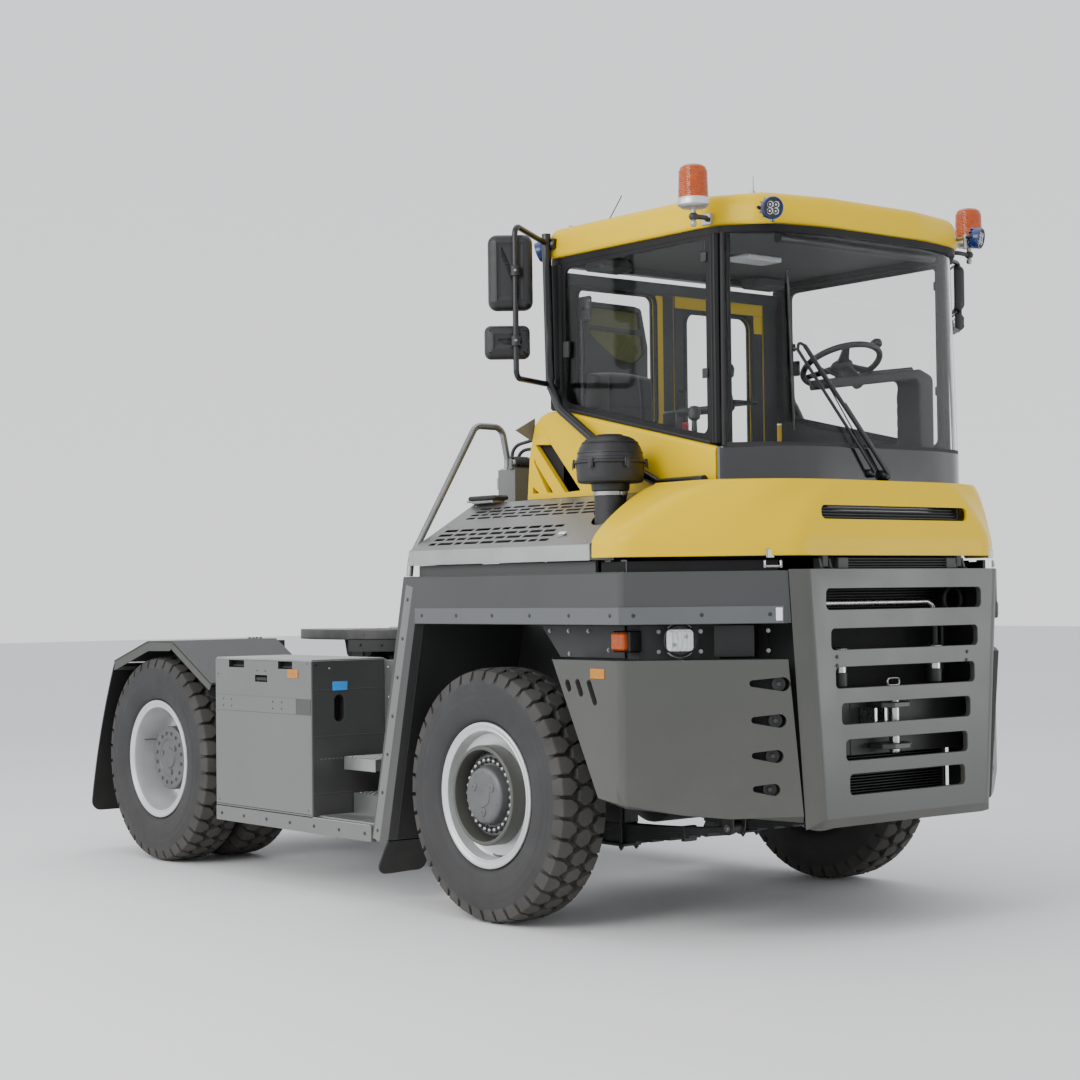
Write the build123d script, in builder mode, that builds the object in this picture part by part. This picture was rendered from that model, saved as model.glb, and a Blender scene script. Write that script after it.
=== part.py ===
from build123d import *
from math import atan2, cos, degrees, hypot, radians, sin
import os

os.makedirs("parts", exist_ok=True)

# Four-wheel-drive terminal tractor.  Millimetres, +X vehicle left, -Y forward,
# +Z up, origin on the ground under the middle of the outline.

# ---------------------------------------------------------------- driving sizes
HALF_W = 1270.0            # outer body plates
Y_FRONT = -2770.0          # grille face
Y_REAR = 2770.0            # rear flap edge
YF, YR = -1230.0, 1970.0   # axles
R_TYRE, W_TYRE = 600.0, 300.0
AXLE_Z = 600.0
R_BEAD, R_FLANGE = 306.0, 343.0
X_FRONT_WHEEL = 1112.0     # middle of front tyre
X_REAR_OUTER, X_REAR_INNER = 1095.0, 735.0
X_KINGPIN = 940.0
R_KINGPIN, R_SPINDLE_F, R_SPINDLE_R = 30.0, 60.0, 70.0
RUN = 0.05                 # running clearance on the radius
RAIL_IN, RAIL_OUT, RAIL_Z0, RAIL_Z1 = 340.0, 430.0, 800.0, 1050.0
SIDES = (-1, 1)            # right, left

# lift arm, cylinder and fifth wheel, places in the YZ plane
PIVOT = (330.0, 960.0)
ROD_EYE = (1150.0, 1050.0)
TRUNNION = (1220.0, 1200.0)
CYL_BASE = (760.0, 690.0)
R_PIVOT, R_BASE, R_EYE_PIN, R_TRUNNION = 45.0, 30.0, 28.0, 35.0
X_CYL = 110.0
ARM_IN, ARM_OUT = 180.0, 240.0
R_BARREL, R_ROD = 55.0, 35.0
PLATE_Z0, PLATE_Z1 = 1290.0, 1350.0
R_KINGPIN_JAW = 25.5

# cab
CAB_X = 790.0
CAB_REAR, CAB_B_PILLAR = -1200.0, -2390.0
FLOOR_Z, SILL_Z, COWL_Z, HEAD_Z, ROOF_Z = 1800.0, 2000.0, 2190.0, 3172.0, 3330.0
DOOR_X0, DOOR_X1, DOOR_Z0, DOOR_Z1 = 0.0, 640.0, 1806.0, 3060.0


def yz(x):
    return Plane(origin=(x, 0, 0), x_dir=(0, 1, 0), z_dir=(1, 0, 0))


def xz(y):
    return Plane(origin=(0, y, 0), x_dir=(1, 0, 0), z_dir=(0, -1, 0))


def xy(z):
    return Plane(origin=(0, 0, z), x_dir=(1, 0, 0), z_dir=(0, 0, 1))


def slab(pts, plane, depth, corner=0.0):
    """A plate: a polygon on a plane, with its corners rounded, made thick."""
    with BuildPart() as p:
        with BuildSketch(plane) as s:
            with BuildLine():
                Polyline(*pts, close=True)
            make_face()
            if corner:
                fillet(s.vertices(), corner)
        extrude(amount=depth)
    return p.part


def block(x0, x1, y0, y1, z0, z1):
    with BuildPart() as p:
        with Locations(((x0 + x1) / 2, (y0 + y1) / 2, (z0 + z1) / 2)):
            Box(abs(x1 - x0), abs(y1 - y0), abs(z1 - z0))
    return p.part


def rod_x(x0, x1, y, z, r):
    """A round bar along X."""
    with BuildPart() as p:
        with BuildSketch(yz(min(x0, x1))):
            with Locations((y, z)):
                Circle(r)
        extrude(amount=abs(x1 - x0))
    return p.part


def rod_between(a, b, r):
    """A round bar from point a to point b."""
    a, b = Vector(*a), Vector(*b)
    with BuildPart() as p:
        with BuildSketch(Plane(origin=a, z_dir=b - a)):
            Circle(r)
        extrude(amount=(b - a).length)
    return p.part


def tube(pts, r, bend):
    with BuildPart() as p:
        with BuildLine() as path:
            FilletPolyline(*pts, radius=bend)
        with BuildSketch(Plane(origin=path.line @ 0, z_dir=path.line % 0)):
            Circle(r)
        sweep()
    return p.part


def turned_x(profile, x_mid, s):
    """A ring about the axle line: profile rows are (outward offset, radius)."""
    with BuildPart() as p:
        with BuildSketch(Plane.XY):
            with BuildLine():
                Polyline(*[(s * (x_mid + u), r) for u, r in profile], close=True)
            make_face()
        revolve(axis=Axis.X)
    return p.part


def stack(sections, ruled=True):
    """A loft through plan outlines: rows are (z, outline)."""
    with BuildPart() as p:
        for z, pts in sections:
            with BuildSketch(xy(z)):
                with BuildLine():
                    Polyline(*pts, close=True)
                make_face()
        loft(ruled=ruled)
    return p.part


def both(half):
    """Left half outline, rear to front, closed by its mirror image."""
    return [(x, y) for x, y in half] + [(-x, y) for x, y in reversed(half)]


def save(builder, name):
    builder.part.label = name
    export_step(builder.part, "parts/" + name + ".step")


# ---------------------------------------------------------------- frame
with BuildPart() as frame_rails:
    for s in SIDES:
        add(block(s * RAIL_IN, s * RAIL_OUT, -2500, 2660, RAIL_Z0, RAIL_Z1))
save(frame_rails, "frame_rails")

# half width, y0, y1, z0, z1
CROSSMEMBERS = (
    (600, -2600, -2500, 800, 1050),
    (RAIL_IN, -620, -540, 820, 1030),
    (620, 2660, 2740, 780, 1070),
)
with BuildPart() as frame_crossmembers:
    for hw, y0, y1, z0, z1 in CROSSMEMBERS:
        add(block(-hw, hw, y0, y1, z0, z1))
    add(rod_x(-RAIL_IN, RAIL_IN, *PIVOT, R_PIVOT))
    add(rod_x(-RAIL_IN, RAIL_IN, *CYL_BASE, R_BASE))
    for s in SIDES:
        add(block(s * RAIL_IN, s * RAIL_OUT, CYL_BASE[0] - 60, CYL_BASE[0] + 60, 630, RAIL_Z0))
save(frame_crossmembers, "frame_crossmembers")

# ---------------------------------------------------------------- axles
with BuildPart() as front_axle:
    add(turned_x([(-780, 0), (-780, 95), (-300, 95), (-190, 205), (190, 205), (300, 95), (780, 95), (780, 0)], 0, 1)
        .moved(Location((0, YF, AXLE_Z))))
    add(block(-70, 70, YF + 150, YF + 215, AXLE_Z - 60, AXLE_Z + 60))
    for s in SIDES:
        add(block(s * 370, s * 460, YF - 110, YF + 110, 415, AXLE_Z))
        add(block(s * 760, s * 800, YF - 85, YF + 85, AXLE_Z - 165, AXLE_Z + 165))
        for z0, z1 in ((AXLE_Z - 165, AXLE_Z - 120), (AXLE_Z + 120, AXLE_Z + 165)):
            add(block(s * 760, s * 985, YF - 55, YF + 55, z0, z1))
        with BuildSketch(xy(AXLE_Z - 300)):
            with Locations((s * X_KINGPIN, YF)):
                Circle(R_KINGPIN + RUN)
        extrude(amount=600, mode=Mode.SUBTRACT)
save(front_axle, "front_axle")

# springs slung under the axle, with a hanger up to the rail at each end
SPRING_F, SPRING_R = YF - 850, YF + 640
with BuildPart() as front_leaf_springs:
    for s in SIDES:
        with BuildSketch(yz(s * 415 - 40)):
            with BuildLine():
                Polyline((SPRING_F, 415), (YF - 110, 318), (YF + 110, 318), (SPRING_R, 430),
                         (SPRING_R, RAIL_Z0), (SPRING_R - 70, RAIL_Z0), (SPRING_R - 80, 500), (YF + 300, 428), (YF + 110, 413),
                         (YF - 110, 413), (YF - 300, 425), (SPRING_F + 80, 480), (SPRING_F + 70, RAIL_Z0), (SPRING_F, RAIL_Z0), close=True)
            make_face()
        extrude(amount=80)
save(front_leaf_springs, "front_leaf_springs")

with BuildPart() as rear_axle:
    add(turned_x([(-1000, 0), (-1000, R_SPINDLE_R), (-560, R_SPINDLE_R), (-560, 105), (-320, 105), (-210, 230),
                  (210, 230), (320, 105), (560, 105), (560, R_SPINDLE_R), (1000, R_SPINDLE_R), (1000, 0)], 0, 1)
        .moved(Location((0, YR, AXLE_Z))))
    add(block(-80, 80, YR - 260, YR - 150, AXLE_Z - 70, AXLE_Z + 70))
    for s in SIDES:
        add(block(s * RAIL_IN, s * RAIL_OUT, YR - 120, YR + 120, AXLE_Z, RAIL_Z0))
save(rear_axle, "rear_axle")

for s, side in zip(SIDES, ("right", "left")):
    with BuildPart() as knuckle:
        add(block(s * 885, s * 1000, YF - 75, YF + 75, AXLE_Z - 112, AXLE_Z + 112))
        add(block(s * 880, s * 935, YF + 60, YF + 265, AXLE_Z - 100, AXLE_Z - 60))
        with BuildSketch(xy(AXLE_Z - 175)):
            with Locations((s * X_KINGPIN, YF)):
                Circle(R_KINGPIN)
        extrude(amount=350)
        add(rod_x(s * 990, s * 1140, YF, AXLE_Z, R_SPINDLE_F))
    save(knuckle, "knuckle_" + side)

with BuildPart() as tie_rod:
    add(rod_x(-905, 905, YF + 235, 465, 19))
    for s in SIDES:
        add(block(s * 872, s * 938, YF + 209, YF + 261, 442, 488))
save(tie_rod, "tie_rod")

# ---------------------------------------------------------------- wheels
# outward offset from the middle of the tyre, radius
TYRE = ((-112, R_BEAD), (112, R_BEAD), (112, 347), (134, 368), (150, 450), (142, 535), (124, 588), (96, R_TYRE),
        (-96, R_TYRE), (-124, 588), (-142, 535), (-150, 450), (-134, 368), (-112, 347))
RIM_EDGE = ((-128, 290), (-128, R_FLANGE), (-114, R_FLANGE), (-114, R_BEAD - 0.5), (114, R_BEAD - 0.5),
            (114, R_FLANGE), (128, R_FLANGE), (128, 290))
RIM_FRONT = RIM_EDGE + ((60, 285), (60, 200), (36, 200), (36, 285))
HUB_FRONT = ((-92, 0), (-92, 150), (-60, 201), (72, 201), (84, 186), (84, 135), (128, 118), (140, 100), (140, 0))
RIM_REAR = RIM_EDGE + ((-60, 285), (-96, 250), (-96, 160), (-116, 160), (-116, 285))
HUB_REAR = ((-490, 0), (-490, 161), (-46, 161), (-40, 185), (44, 185), (50, 178), (50, 0))

for s, side in zip(SIDES, ("right", "left")):
    with BuildPart() as front_tyre:
        add(turned_x(TYRE, X_FRONT_WHEEL, s).moved(Location((0, YF, AXLE_Z))))
    save(front_tyre, "front_tyre_" + side)
    with BuildPart() as front_wheel:
        add(turned_x(RIM_FRONT, X_FRONT_WHEEL, s).moved(Location((0, YF, AXLE_Z))))
        add(turned_x(HUB_FRONT, X_FRONT_WHEEL, s).moved(Location((0, YF, AXLE_Z))))
        add(rod_x(s * 980, s * 1145, YF, AXLE_Z, R_SPINDLE_F + RUN), mode=Mode.SUBTRACT)
    save(front_wheel, "front_wheel_" + side)
    with BuildPart() as rear_tyres:
        for xc in (X_REAR_OUTER, X_REAR_INNER):
            add(turned_x(TYRE, xc, s).moved(Location((0, YR, AXLE_Z))))
    save(rear_tyres, "rear_tyres_" + side)
    with BuildPart() as rear_wheels:
        add(turned_x(RIM_REAR, X_REAR_OUTER, s).moved(Location((0, YR, AXLE_Z))))
        add(turned_x([(-u, r) for u, r in RIM_REAR], X_REAR_INNER, s).moved(Location((0, YR, AXLE_Z))))
        add(turned_x(HUB_REAR, X_REAR_OUTER, s).moved(Location((0, YR, AXLE_Z))))
        add(rod_x(s * 560, s * 1005, YR, AXLE_Z, R_SPINDLE_R + RUN), mode=Mode.SUBTRACT)
    save(rear_wheels, "rear_wheels_" + side)

# ---------------------------------------------------------------- drive line
with BuildPart() as engine_block:
    add(block(-300, 300, -2150, -1000, 860, 1600))
    add(block(-260, 260, -1010, -640, 540, 1150))
save(engine_block, "engine_block")

with BuildPart() as propshaft:
    with BuildSketch(xz(-640)):
        with Locations((0, AXLE_Z)):
            Circle(45)
    extrude(amount=-(YR - 260 + 640))
save(propshaft, "propshaft")

with BuildPart() as radiator:
    add(block(-480, 480, -2480, -2370, 1080, 1590))
save(radiator, "radiator")

# ---------------------------------------------------------------- nose
# the nose narrows downwards: flat face, then corners folded back to a seam
NOSE_Z0, NOSE_Z1 = 505.0, 1640.0
# z, half width of slot
GRILLE_SLOTS = ((1507, 520, 93), (1331, 492, 93), (1162, 466, 93), (1002, 432, 93), (842, 408, 93), (690, 386, 92))
BONNET_HINGE = (-2678.0, 1668.0)
R_BONNET_PIN = 10.0
LUG_X, LUG_T = (412.0, 474.0), 14.0
LUG = ((-2738, 1595), (-2656, 1595), (-2656, 1690), (-2690, 1690), (-2702, 1648), (-2738, 1632))
with BuildPart() as front_grille:
    rows = []
    for z, face, seam in ((NOSE_Z0, 548, 615), (NOSE_Z1, 630, 700)):
        rows.append((z, [(seam, -2712), (face, Y_FRONT), (-face, Y_FRONT), (-seam, -2712),
                         (-seam + 26, -2688), (-face + 14, Y_FRONT + 34), (face - 14, Y_FRONT + 34),
                         (seam - 26, -2688)]))
    add(stack(rows))
    for z, hw, high in GRILLE_SLOTS:
        with BuildSketch(xz(Y_FRONT - 20)):
            with Locations((0, z)):
                RectangleRounded(2 * hw, high, 22)
        extrude(amount=-90, mode=Mode.SUBTRACT)
    # bonnet hinge lugs with their pins
    for s in SIDES:
        for x0 in LUG_X:
            add(slab(LUG, yz(s * x0 if s > 0 else -x0 - LUG_T), LUG_T))
        add(rod_x(s * LUG_X[0], s * (LUG_X[1] + LUG_T), *BONNET_HINGE, R_BONNET_PIN))
save(front_grille, "front_grille")

with BuildPart() as tow_coupling:
    for z0, z1 in ((826, 852), (1012, 1038)):
        add(block(-95, 95, -2730, -2600, z0, z1))
    with BuildSketch(xy(812)):
        with Locations((0, -2680)):
            Circle(24)
    extrude(amount=290)
save(tow_coupling, "tow_coupling")

BEND_Y = -2240.0
PANEL_T = 40.0
with BuildPart() as bumper_side_panels:
    for s in SIDES:
        rows = []
        for z, seam, ys in ((500, 622, -2716), (1250, 708, -2712)):
            rows.append((z, [(s * 1264, -1760), (s * 1264, BEND_Y), (s * seam, ys), (s * (seam - 24), ys + 30),
                             (s * (1264 - PANEL_T), BEND_Y + 20), (s * (1264 - PANEL_T), -1760)]))
        add(stack(rows))
        # lamp shelf behind the top edge, with an upright back
        add(slab([(s * 1228, -1790), (s * 1228, BEND_Y + 18), (s * 700, -2680), (s * 620, -2560),
                  (s * 1080, -2180), (s * 1080, -1790)], xy(1236), 14))
        add(slab([(s * 1092, -1790), (s * 1092, -2176), (s * 628, -2556), (s * 620, -2568),
                  (s * 1080, -2182), (s * 1080, -1790)], xy(1250), 150))
        add(slab([(-1770, 1260), (-1500, 1260), (-1500, 400), (-2730, 400), (-2730, 520), (-2240, 604), (-2084, 647)],
                 yz(s * 1275 if s < 0 else 1100), 175), mode=Mode.SUBTRACT)
        add(slab([(-2235, 400), (-2780, 400), (-2780, 520), (-2235, 604)],
                 yz(-1300 if s < 0 else 560), 740), mode=Mode.SUBTRACT)
    # z, outward places of the front and rear ends, radii there
    for z, x1, x2, r1, r2 in ((1142, 722, 824, 30, 14), (983, 727, 812, 29, 14), (829, 731, 806, 28, 13), (684, 736, 798, 26, 13)):
        seam = 622 + (z - 500) / 750 * 86
        y1 = BEND_Y + (1264 - x1) / (1264 - seam) * (-2714 - BEND_Y)
        for s in SIDES:
            with BuildSketch(Plane(origin=(s * x1, y1, z), x_dir=(-s * 0.78, -0.62, 0), z_dir=(s * 0.62, -0.78, 0)).offset(60)):
                Circle(r1)
                with Locations((-(x2 - x1) / 0.78, 4)):
                    Circle(r2)
                make_hull()
            extrude(amount=-180, mode=Mode.SUBTRACT)
    # y, z, length of the slanted side slots
    for y, z, size in ((-1888, 1135, 56), (-1964, 1127, 82), (-2050, 1108, 120)):
        with BuildSketch(yz(-1300)):
            with Locations(Location((y, z, 0), (0, 0, 65))):
                SlotOverall(size, 30)
        extrude(amount=2600, mode=Mode.SUBTRACT)
save(bumper_side_panels, "bumper_side_panels")

with BuildPart() as front_fenders:
    for s in SIDES:
        # band round the nose, slanted rear post, sloping mud wall, top plate, inner wall, ledge
        add(slab([(s * HALF_W, -760), (s * HALF_W, BEND_Y), (s * 706, -2708), (s * 682, -2680),
                  (s * (HALF_W - 35), BEND_Y + 16), (s * (HALF_W - 35), -760)], xy(1405), 230))
        add(slab([(-762, 1405), (-762, 1635), (-622, 1635), (-326, 326), (-467, 326), (-715, 1405)],
                 yz(-HALF_W if s < 0 else HALF_W - 70), 70))
        add(slab([(-716, 1405), (-467, 326), (-445, 326), (-694, 1405)],
                 yz(-1210 if s < 0 else 650), 560))
        add(slab([(s * 1240, -630), (s * 1240, BEND_Y + 14), (s * 700, -2670), (s * 560, -2670), (s * 560, -630)],
                 xy(1611), 24))
        add(block(s * 560, s * 580, -2150, -640, 1060, 1620))
        add(block(s * 1196, s * 1216, -2030, -690, 1630, 1689))
save(front_fenders, "front_fenders")

# lamp centre (outward, y, z), outward tilt
with BuildPart() as headlamps:
    for s in SIDES:
        with BuildSketch(Plane(origin=(s * 1010, -2392, 1335), x_dir=(s * 0.80, 0.6, 0), z_dir=(s * 0.6, -0.80, 0))):
            Circle(72)
        extrude(amount=-60)
        add(block(s * 985, s * 1020, -2365, -2335, 1250, 1280))
save(headlamps, "headlamps")

with BuildPart() as signal_lamps:
    for s in SIDES:
        add(block(s * 1092, s * 1200, -2150, -2040, 1290, 1372))
        add(block(s * 480, s * 610, 2740, 2766, 880, 990))
save(signal_lamps, "signal_lamps")

# ---------------------------------------------------------------- bonnet and deck covers
# z, then left half outline (rear corner, bend, corner, front corner)
BONNET_REAR = -2060.0
BONNET = (
    (1700, ((1262, BONNET_REAR), (1262, -2236), (900, -2520), (640, -2722))),
    (1830, ((1256, BONNET_REAR), (1256, -2232), (896, -2515), (636, -2716))),
    (2040, ((885, BONNET_REAR), (885, -2420), (650, -2640), (380, -2694))),
)
BONNET_INSIDE = (
    (1690, ((1236, -2000), (1236, -2226), (886, -2500), (630, -2694))),
    (1822, ((1230, -2000), (1230, -2222), (882, -2496), (626, -2690))),
    (2045, ((868, -2000), (868, -2412), (640, -2622), (376, -2674))),
)
with BuildPart() as bonnet:
    add(stack([(z, both(list(h))) for z, h in BONNET]))
    add(stack([(z, both(list(h))) for z, h in BONNET_INSIDE]), mode=Mode.SUBTRACT)
    with BuildSketch(xz(-2740)):
        with Locations((0, 1892)):
            RectangleRounded(980, 62, 22)
    extrude(amount=-110, mode=Mode.SUBTRACT)
    for s in SIDES:
        add(block(s * 430, s * 470, -2697, -2660, 1645, 1760))
    add(rod_x(-480, 480, *BONNET_HINGE, R_BONNET_PIN + RUN), mode=Mode.SUBTRACT)
save(bonnet, "bonnet")

DECK_Y0, DECK_Y1 = -2045.0, -664.0
CLEANER = (-1014.0, -1905.0)
with BuildPart() as deck_covers:
    for s in SIDES:
        add(slab([(s * 1262, 1690), (s * 1262, 1758), (s * 850, 2000), (s * 806, 2000), (s * 806, 1978),
                  (s * 838, 1978), (s * 1240, 1742), (s * 1240, 1690)], xz(DECK_Y1), DECK_Y1 - DECK_Y0))
        add(slab([(s * 1262, 1690), (s * 1262, 1758), (s * 850, 2000), (s * 806, 2000), (s * 806, 1690)],
                 xz(DECK_Y1), 20))
    with BuildSketch(xy(1600)):
        with Locations(CLEANER):
            Circle(88)
    extrude(amount=500, mode=Mode.SUBTRACT)
save(deck_covers, "deck_covers")

with BuildPart() as air_precleaner:
    with BuildSketch(Plane(origin=(CLEANER[0], CLEANER[1], 0), x_dir=(1, 0, 0), z_dir=(0, -1, 0))):
        with BuildLine():
            Polyline((0, 1640), (74, 1640), (74, 2010), (95, 2046), (145, 2052), (158, 2075), (158, 2165),
                     (146, 2200), (100, 2245), (40, 2266), (0, 2268), close=True)
        make_face()
    revolve(axis=Axis((CLEANER[0], CLEANER[1], 0), (0, 0, 1)))
save(air_precleaner, "air_precleaner")

# ---------------------------------------------------------------- cab
CAB_HALF = [(CAB_X, CAB_REAR), (CAB_X, CAB_B_PILLAR), (610, -2582), (350, -2640)]


def cab_outline(inset):
    k = inset
    return both([(CAB_X - k, CAB_REAR - k), (CAB_X - k, CAB_B_PILLAR + 0.4 * k), (610 - 0.8 * k, -2582 + 0.9 * k),
                 (350, -2640 + k)])


with BuildPart() as cab_base:
    add(slab(cab_outline(0), xy(1760), COWL_Z - 1760))
    add(slab(cab_outline(40), xy(FLOOR_Z), 600), mode=Mode.SUBTRACT)
    add(block(-900, 900, -2370, -1100, SILL_Z, 2400), mode=Mode.SUBTRACT)
    add(block(DOOR_X0, DOOR_X1, -1300, -1100, FLOOR_Z, 2400), mode=Mode.SUBTRACT)
save(cab_base, "cab_base")

# y, z corners of the three slots
QUARTER_SLOTS = (
    ((-1091, 2275), (-1215, 2268), (-1431, 2037), (-1316, 2032)),
    ((-1077, 2193), (-1086, 2193), (-1223, 2036), (-1181, 2036)),
    ((-1069, 2069), (-1116, 2037), (-1069, 2037)),
)
with BuildPart() as cab_side_panels:
    for s in SIDES:
        x0 = s * 796 if s < 0 else 766
        add(slab([(-1026, SILL_Z), (-1056, 2300), (-1078, 2372), (-1124, 2414), (-1180, 2430), (-1290, 2430), (-2330, 2200), (-2366, 2190),
                  (-2366, SILL_Z)], yz(x0), 30))
        for slot in QUARTER_SLOTS:
            add(slab(slot, yz(s * 800 if s < 0 else 760), 40), mode=Mode.SUBTRACT)
save(cab_side_panels, "cab_side_panels")

with BuildPart() as cab_pillars:
    add(slab(cab_outline(4), xy(3112), 58))
    add(slab(cab_outline(54), xy(3100), 80), mode=Mode.SUBTRACT)
    for s in SIDES:
        add(block(s * 742, s * 794, -1292, -1204, 2434, 3112))
        add(slab([(s * 786, -2382), (s * 786, -2332), (s * 742, -2332), (s * 742, -2382)], xy(2206), 906))
save(cab_pillars, "cab_pillars")

ROOF_HALF = [(806, -1184), (806, -2300), (655, -2556), (300, -2632)]
with BuildPart() as cab_roof:
    with BuildSketch(xy(HEAD_Z)):
        with BuildLine():
            Polyline(*both(ROOF_HALF), close=True)
        make_face()
    extrude(amount=ROOF_Z - HEAD_Z)
    chamfer(cab_roof.faces().sort_by(Axis.Z)[-1].edges(), 42)
save(cab_roof, "cab_roof")

with BuildPart() as windscreen:
    rows = []
    for z, k, dy in ((COWL_Z + 2, 8, 0), (3110, 26, 14)):
        out = [(CAB_X - k, -2408 + dy), (606 - k, -2580 + dy), (350, -2634 + dy)]
        inn = [(350, -2626 + dy), (603 - k, -2571 + dy), (CAB_X - k - 8, -2404 + dy)]
        ring = out + [(-x, y) for x, y in reversed(out)] + [(-x, y) for x, y in reversed(inn)] + inn
        rows.append((z, ring))
    add(stack(rows))
save(windscreen, "windscreen")

WALL_Y0, WALL_Y1 = -1240.0, -1205.0
HINGE = (646.0, -1184.0)
R_HINGE_PIN = 8.0
HINGE_Z = (2060.0, 2880.0)      # foot of each hinge barrel
BARREL_H = 60.0
with BuildPart() as cab_rear_wall:
    add(block(-738, 738, WALL_Y0, WALL_Y1, SILL_Z, 3110))
    add(block(DOOR_X0, DOOR_X1, WALL_Y0 - 10, WALL_Y1 + 10, 1900, DOOR_Z1 + 6), mode=Mode.SUBTRACT)
    add(slab([(-640, 2380), (-120, 2380), (-120, 3050), (-640, 3050)], xz(WALL_Y1 + 10), 60, 50), mode=Mode.SUBTRACT)
    for z in HINGE_Z:
        for z0 in (z - 24, z + BARREL_H + 2):
            add(block(634, 700, WALL_Y1 - 2, HINGE[1] + 13, z0, z0 + 22))
        with BuildSketch(xy(z - 24)):
            with Locations(HINGE):
                Circle(R_HINGE_PIN)
        extrude(amount=BARREL_H + 48)
save(cab_rear_wall, "cab_rear_wall")

with BuildPart() as cab_windows:
    for s in SIDES:
        add(slab([(-1294, 2436), (-2328, 2208), (-2328, 3110), (-1294, 3110)], yz(-778 if s < 0 else 770), 8))
    add(slab([(-639, 2381), (-121, 2381), (-121, 3049), (-639, 3049)], xz(-1218), 8, 49))
save(cab_windows, "cab_windows")

with BuildPart() as rear_door:
    add(block(DOOR_X0 + 6, DOOR_X1 - 6, WALL_Y0 + 2, WALL_Y1 + 2, DOOR_Z0, DOOR_Z1))
    add(slab([(80, 2250), (560, 2250), (560, 2985), (80, 2985)], xz(WALL_Y1 + 20), 80, 70), mode=Mode.SUBTRACT)
    for z in HINGE_Z:
        add(block(570, HINGE[0], WALL_Y1 + 1, WALL_Y1 + 11, z, z + BARREL_H))
        with BuildSketch(xy(z)):
            with Locations(HINGE):
                Circle(14)
        extrude(amount=BARREL_H)
        with BuildSketch(xy(z - 5)):
            with Locations(HINGE):
                Circle(R_HINGE_PIN + RUN)
        extrude(amount=BARREL_H + 10, mode=Mode.SUBTRACT)
save(rear_door, "rear_door")

with BuildPart() as rear_door_glass:
    add(slab([(81, 2251), (559, 2251), (559, 2984), (81, 2984)], xz(-1216), 8, 69))
save(rear_door_glass, "rear_door_glass")

# driver's seat on the right, facing forward, with the steering column before it
SEAT_AT = (-505.0, -1690.0)
SEAT_TURN = 0.0
seat_dir = (cos(radians(SEAT_TURN)), sin(radians(SEAT_TURN)), 0)


def seat_plane(z):
    return Plane(origin=(SEAT_AT[0], SEAT_AT[1], z), x_dir=seat_dir, z_dir=(0, 0, 1))


with BuildPart() as seat_base:
    with BuildSketch(seat_plane(FLOOR_Z)):
        Rectangle(360, 400)
    extrude(amount=60)
    with BuildSketch(seat_plane(FLOOR_Z + 60)):
        Rectangle(260, 280)
    extrude(amount=320)
save(seat_base, "seat_base")

with BuildPart() as seat_cushions:
    with BuildSketch(seat_plane(FLOOR_Z + 382)):
        Rectangle(440, 470)
    extrude(amount=120)
    with BuildSketch(Plane(origin=(SEAT_AT[0] - sin(radians(SEAT_TURN)) * 300, SEAT_AT[1] + cos(radians(SEAT_TURN)) * 300,
                                   FLOOR_Z + 420), x_dir=seat_dir, z_dir=(0, 0, 1))):
        Rectangle(420, 100)
    extrude(amount=740)
save(seat_cushions, "seat_cushions")

WHEEL_C = (110.0, -2290.0, 2600.0)
Y_DASH = -2352.0
with BuildPart() as dashboard:
    # sloping dash on a leg at its left end
    add(slab([(-185, 2468), (-185, 2515), (430, 2592), (521, 2560), (521, FLOOR_Z), (419, FLOOR_Z), (419, 2545)], xz(Y_DASH), 148))
save(dashboard, "dashboard")

with BuildPart() as steering_column:
    # column ends flat on the dash
    add(rod_between((100, -2400, 2484), (110, -2290, 2600), 28))
    add(block(-100, 300, -2600, Y_DASH, 2300, 2700), mode=Mode.SUBTRACT)
    with BuildSketch(Plane(origin=WHEEL_C, x_dir=(1, 0, 0), z_dir=(0.08, 0.42, 0.9))):
        Circle(200)
        Circle(172, mode=Mode.SUBTRACT)
        Rectangle(350, 40)
        Circle(45)
    extrude(amount=26)
save(steering_column, "steering_column")

# ---------------------------------------------------------------- fittings on the cab
# y, z along the tube
GUARD = ((-2330, 2042), (-2030, 2040), (-1700, 2190), (-1330, 2430), (-1256, 2560), (-1238, 3290))
with BuildPart() as cab_guard_rails:
    for s in SIDES:
        add(tube([(s * 830, y, z) for y, z in GUARD], 22, 90))
save(cab_guard_rails, "cab_guard_rails")

# outward, z along the rail
# the right one ends on the cabinet, the left one keeps clear of the open door
RAIL_RIGHT = ((1238, 1640), (1226, 1730), (818, 2400), (652, 2398), (618, 2240), (618, 2180))
RAIL_LEFT = ((1238, 1640), (1226, 1730), (840, 2375), (716, 2385), (700, 1692))
with BuildPart() as deck_handrails:
    for s, pts in ((-1, RAIL_RIGHT), (1, RAIL_LEFT)):
        add(tube([(s * x, -640, z) for x, z in pts], 17, 60))
save(deck_handrails, "deck_handrails")

with BuildPart() as rear_platform:
    add(block(-800, 800, -1190, -600, 1660, 1690))
    for s in SIDES:
        for y0 in (-1150, -690):
            add(block(s * 350, s * 420, y0, y0 + 60, RAIL_Z1, 1660))
    add(block(-665, -470, -760, -620, 1690, 2180))
save(rear_platform, "rear_platform")

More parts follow.
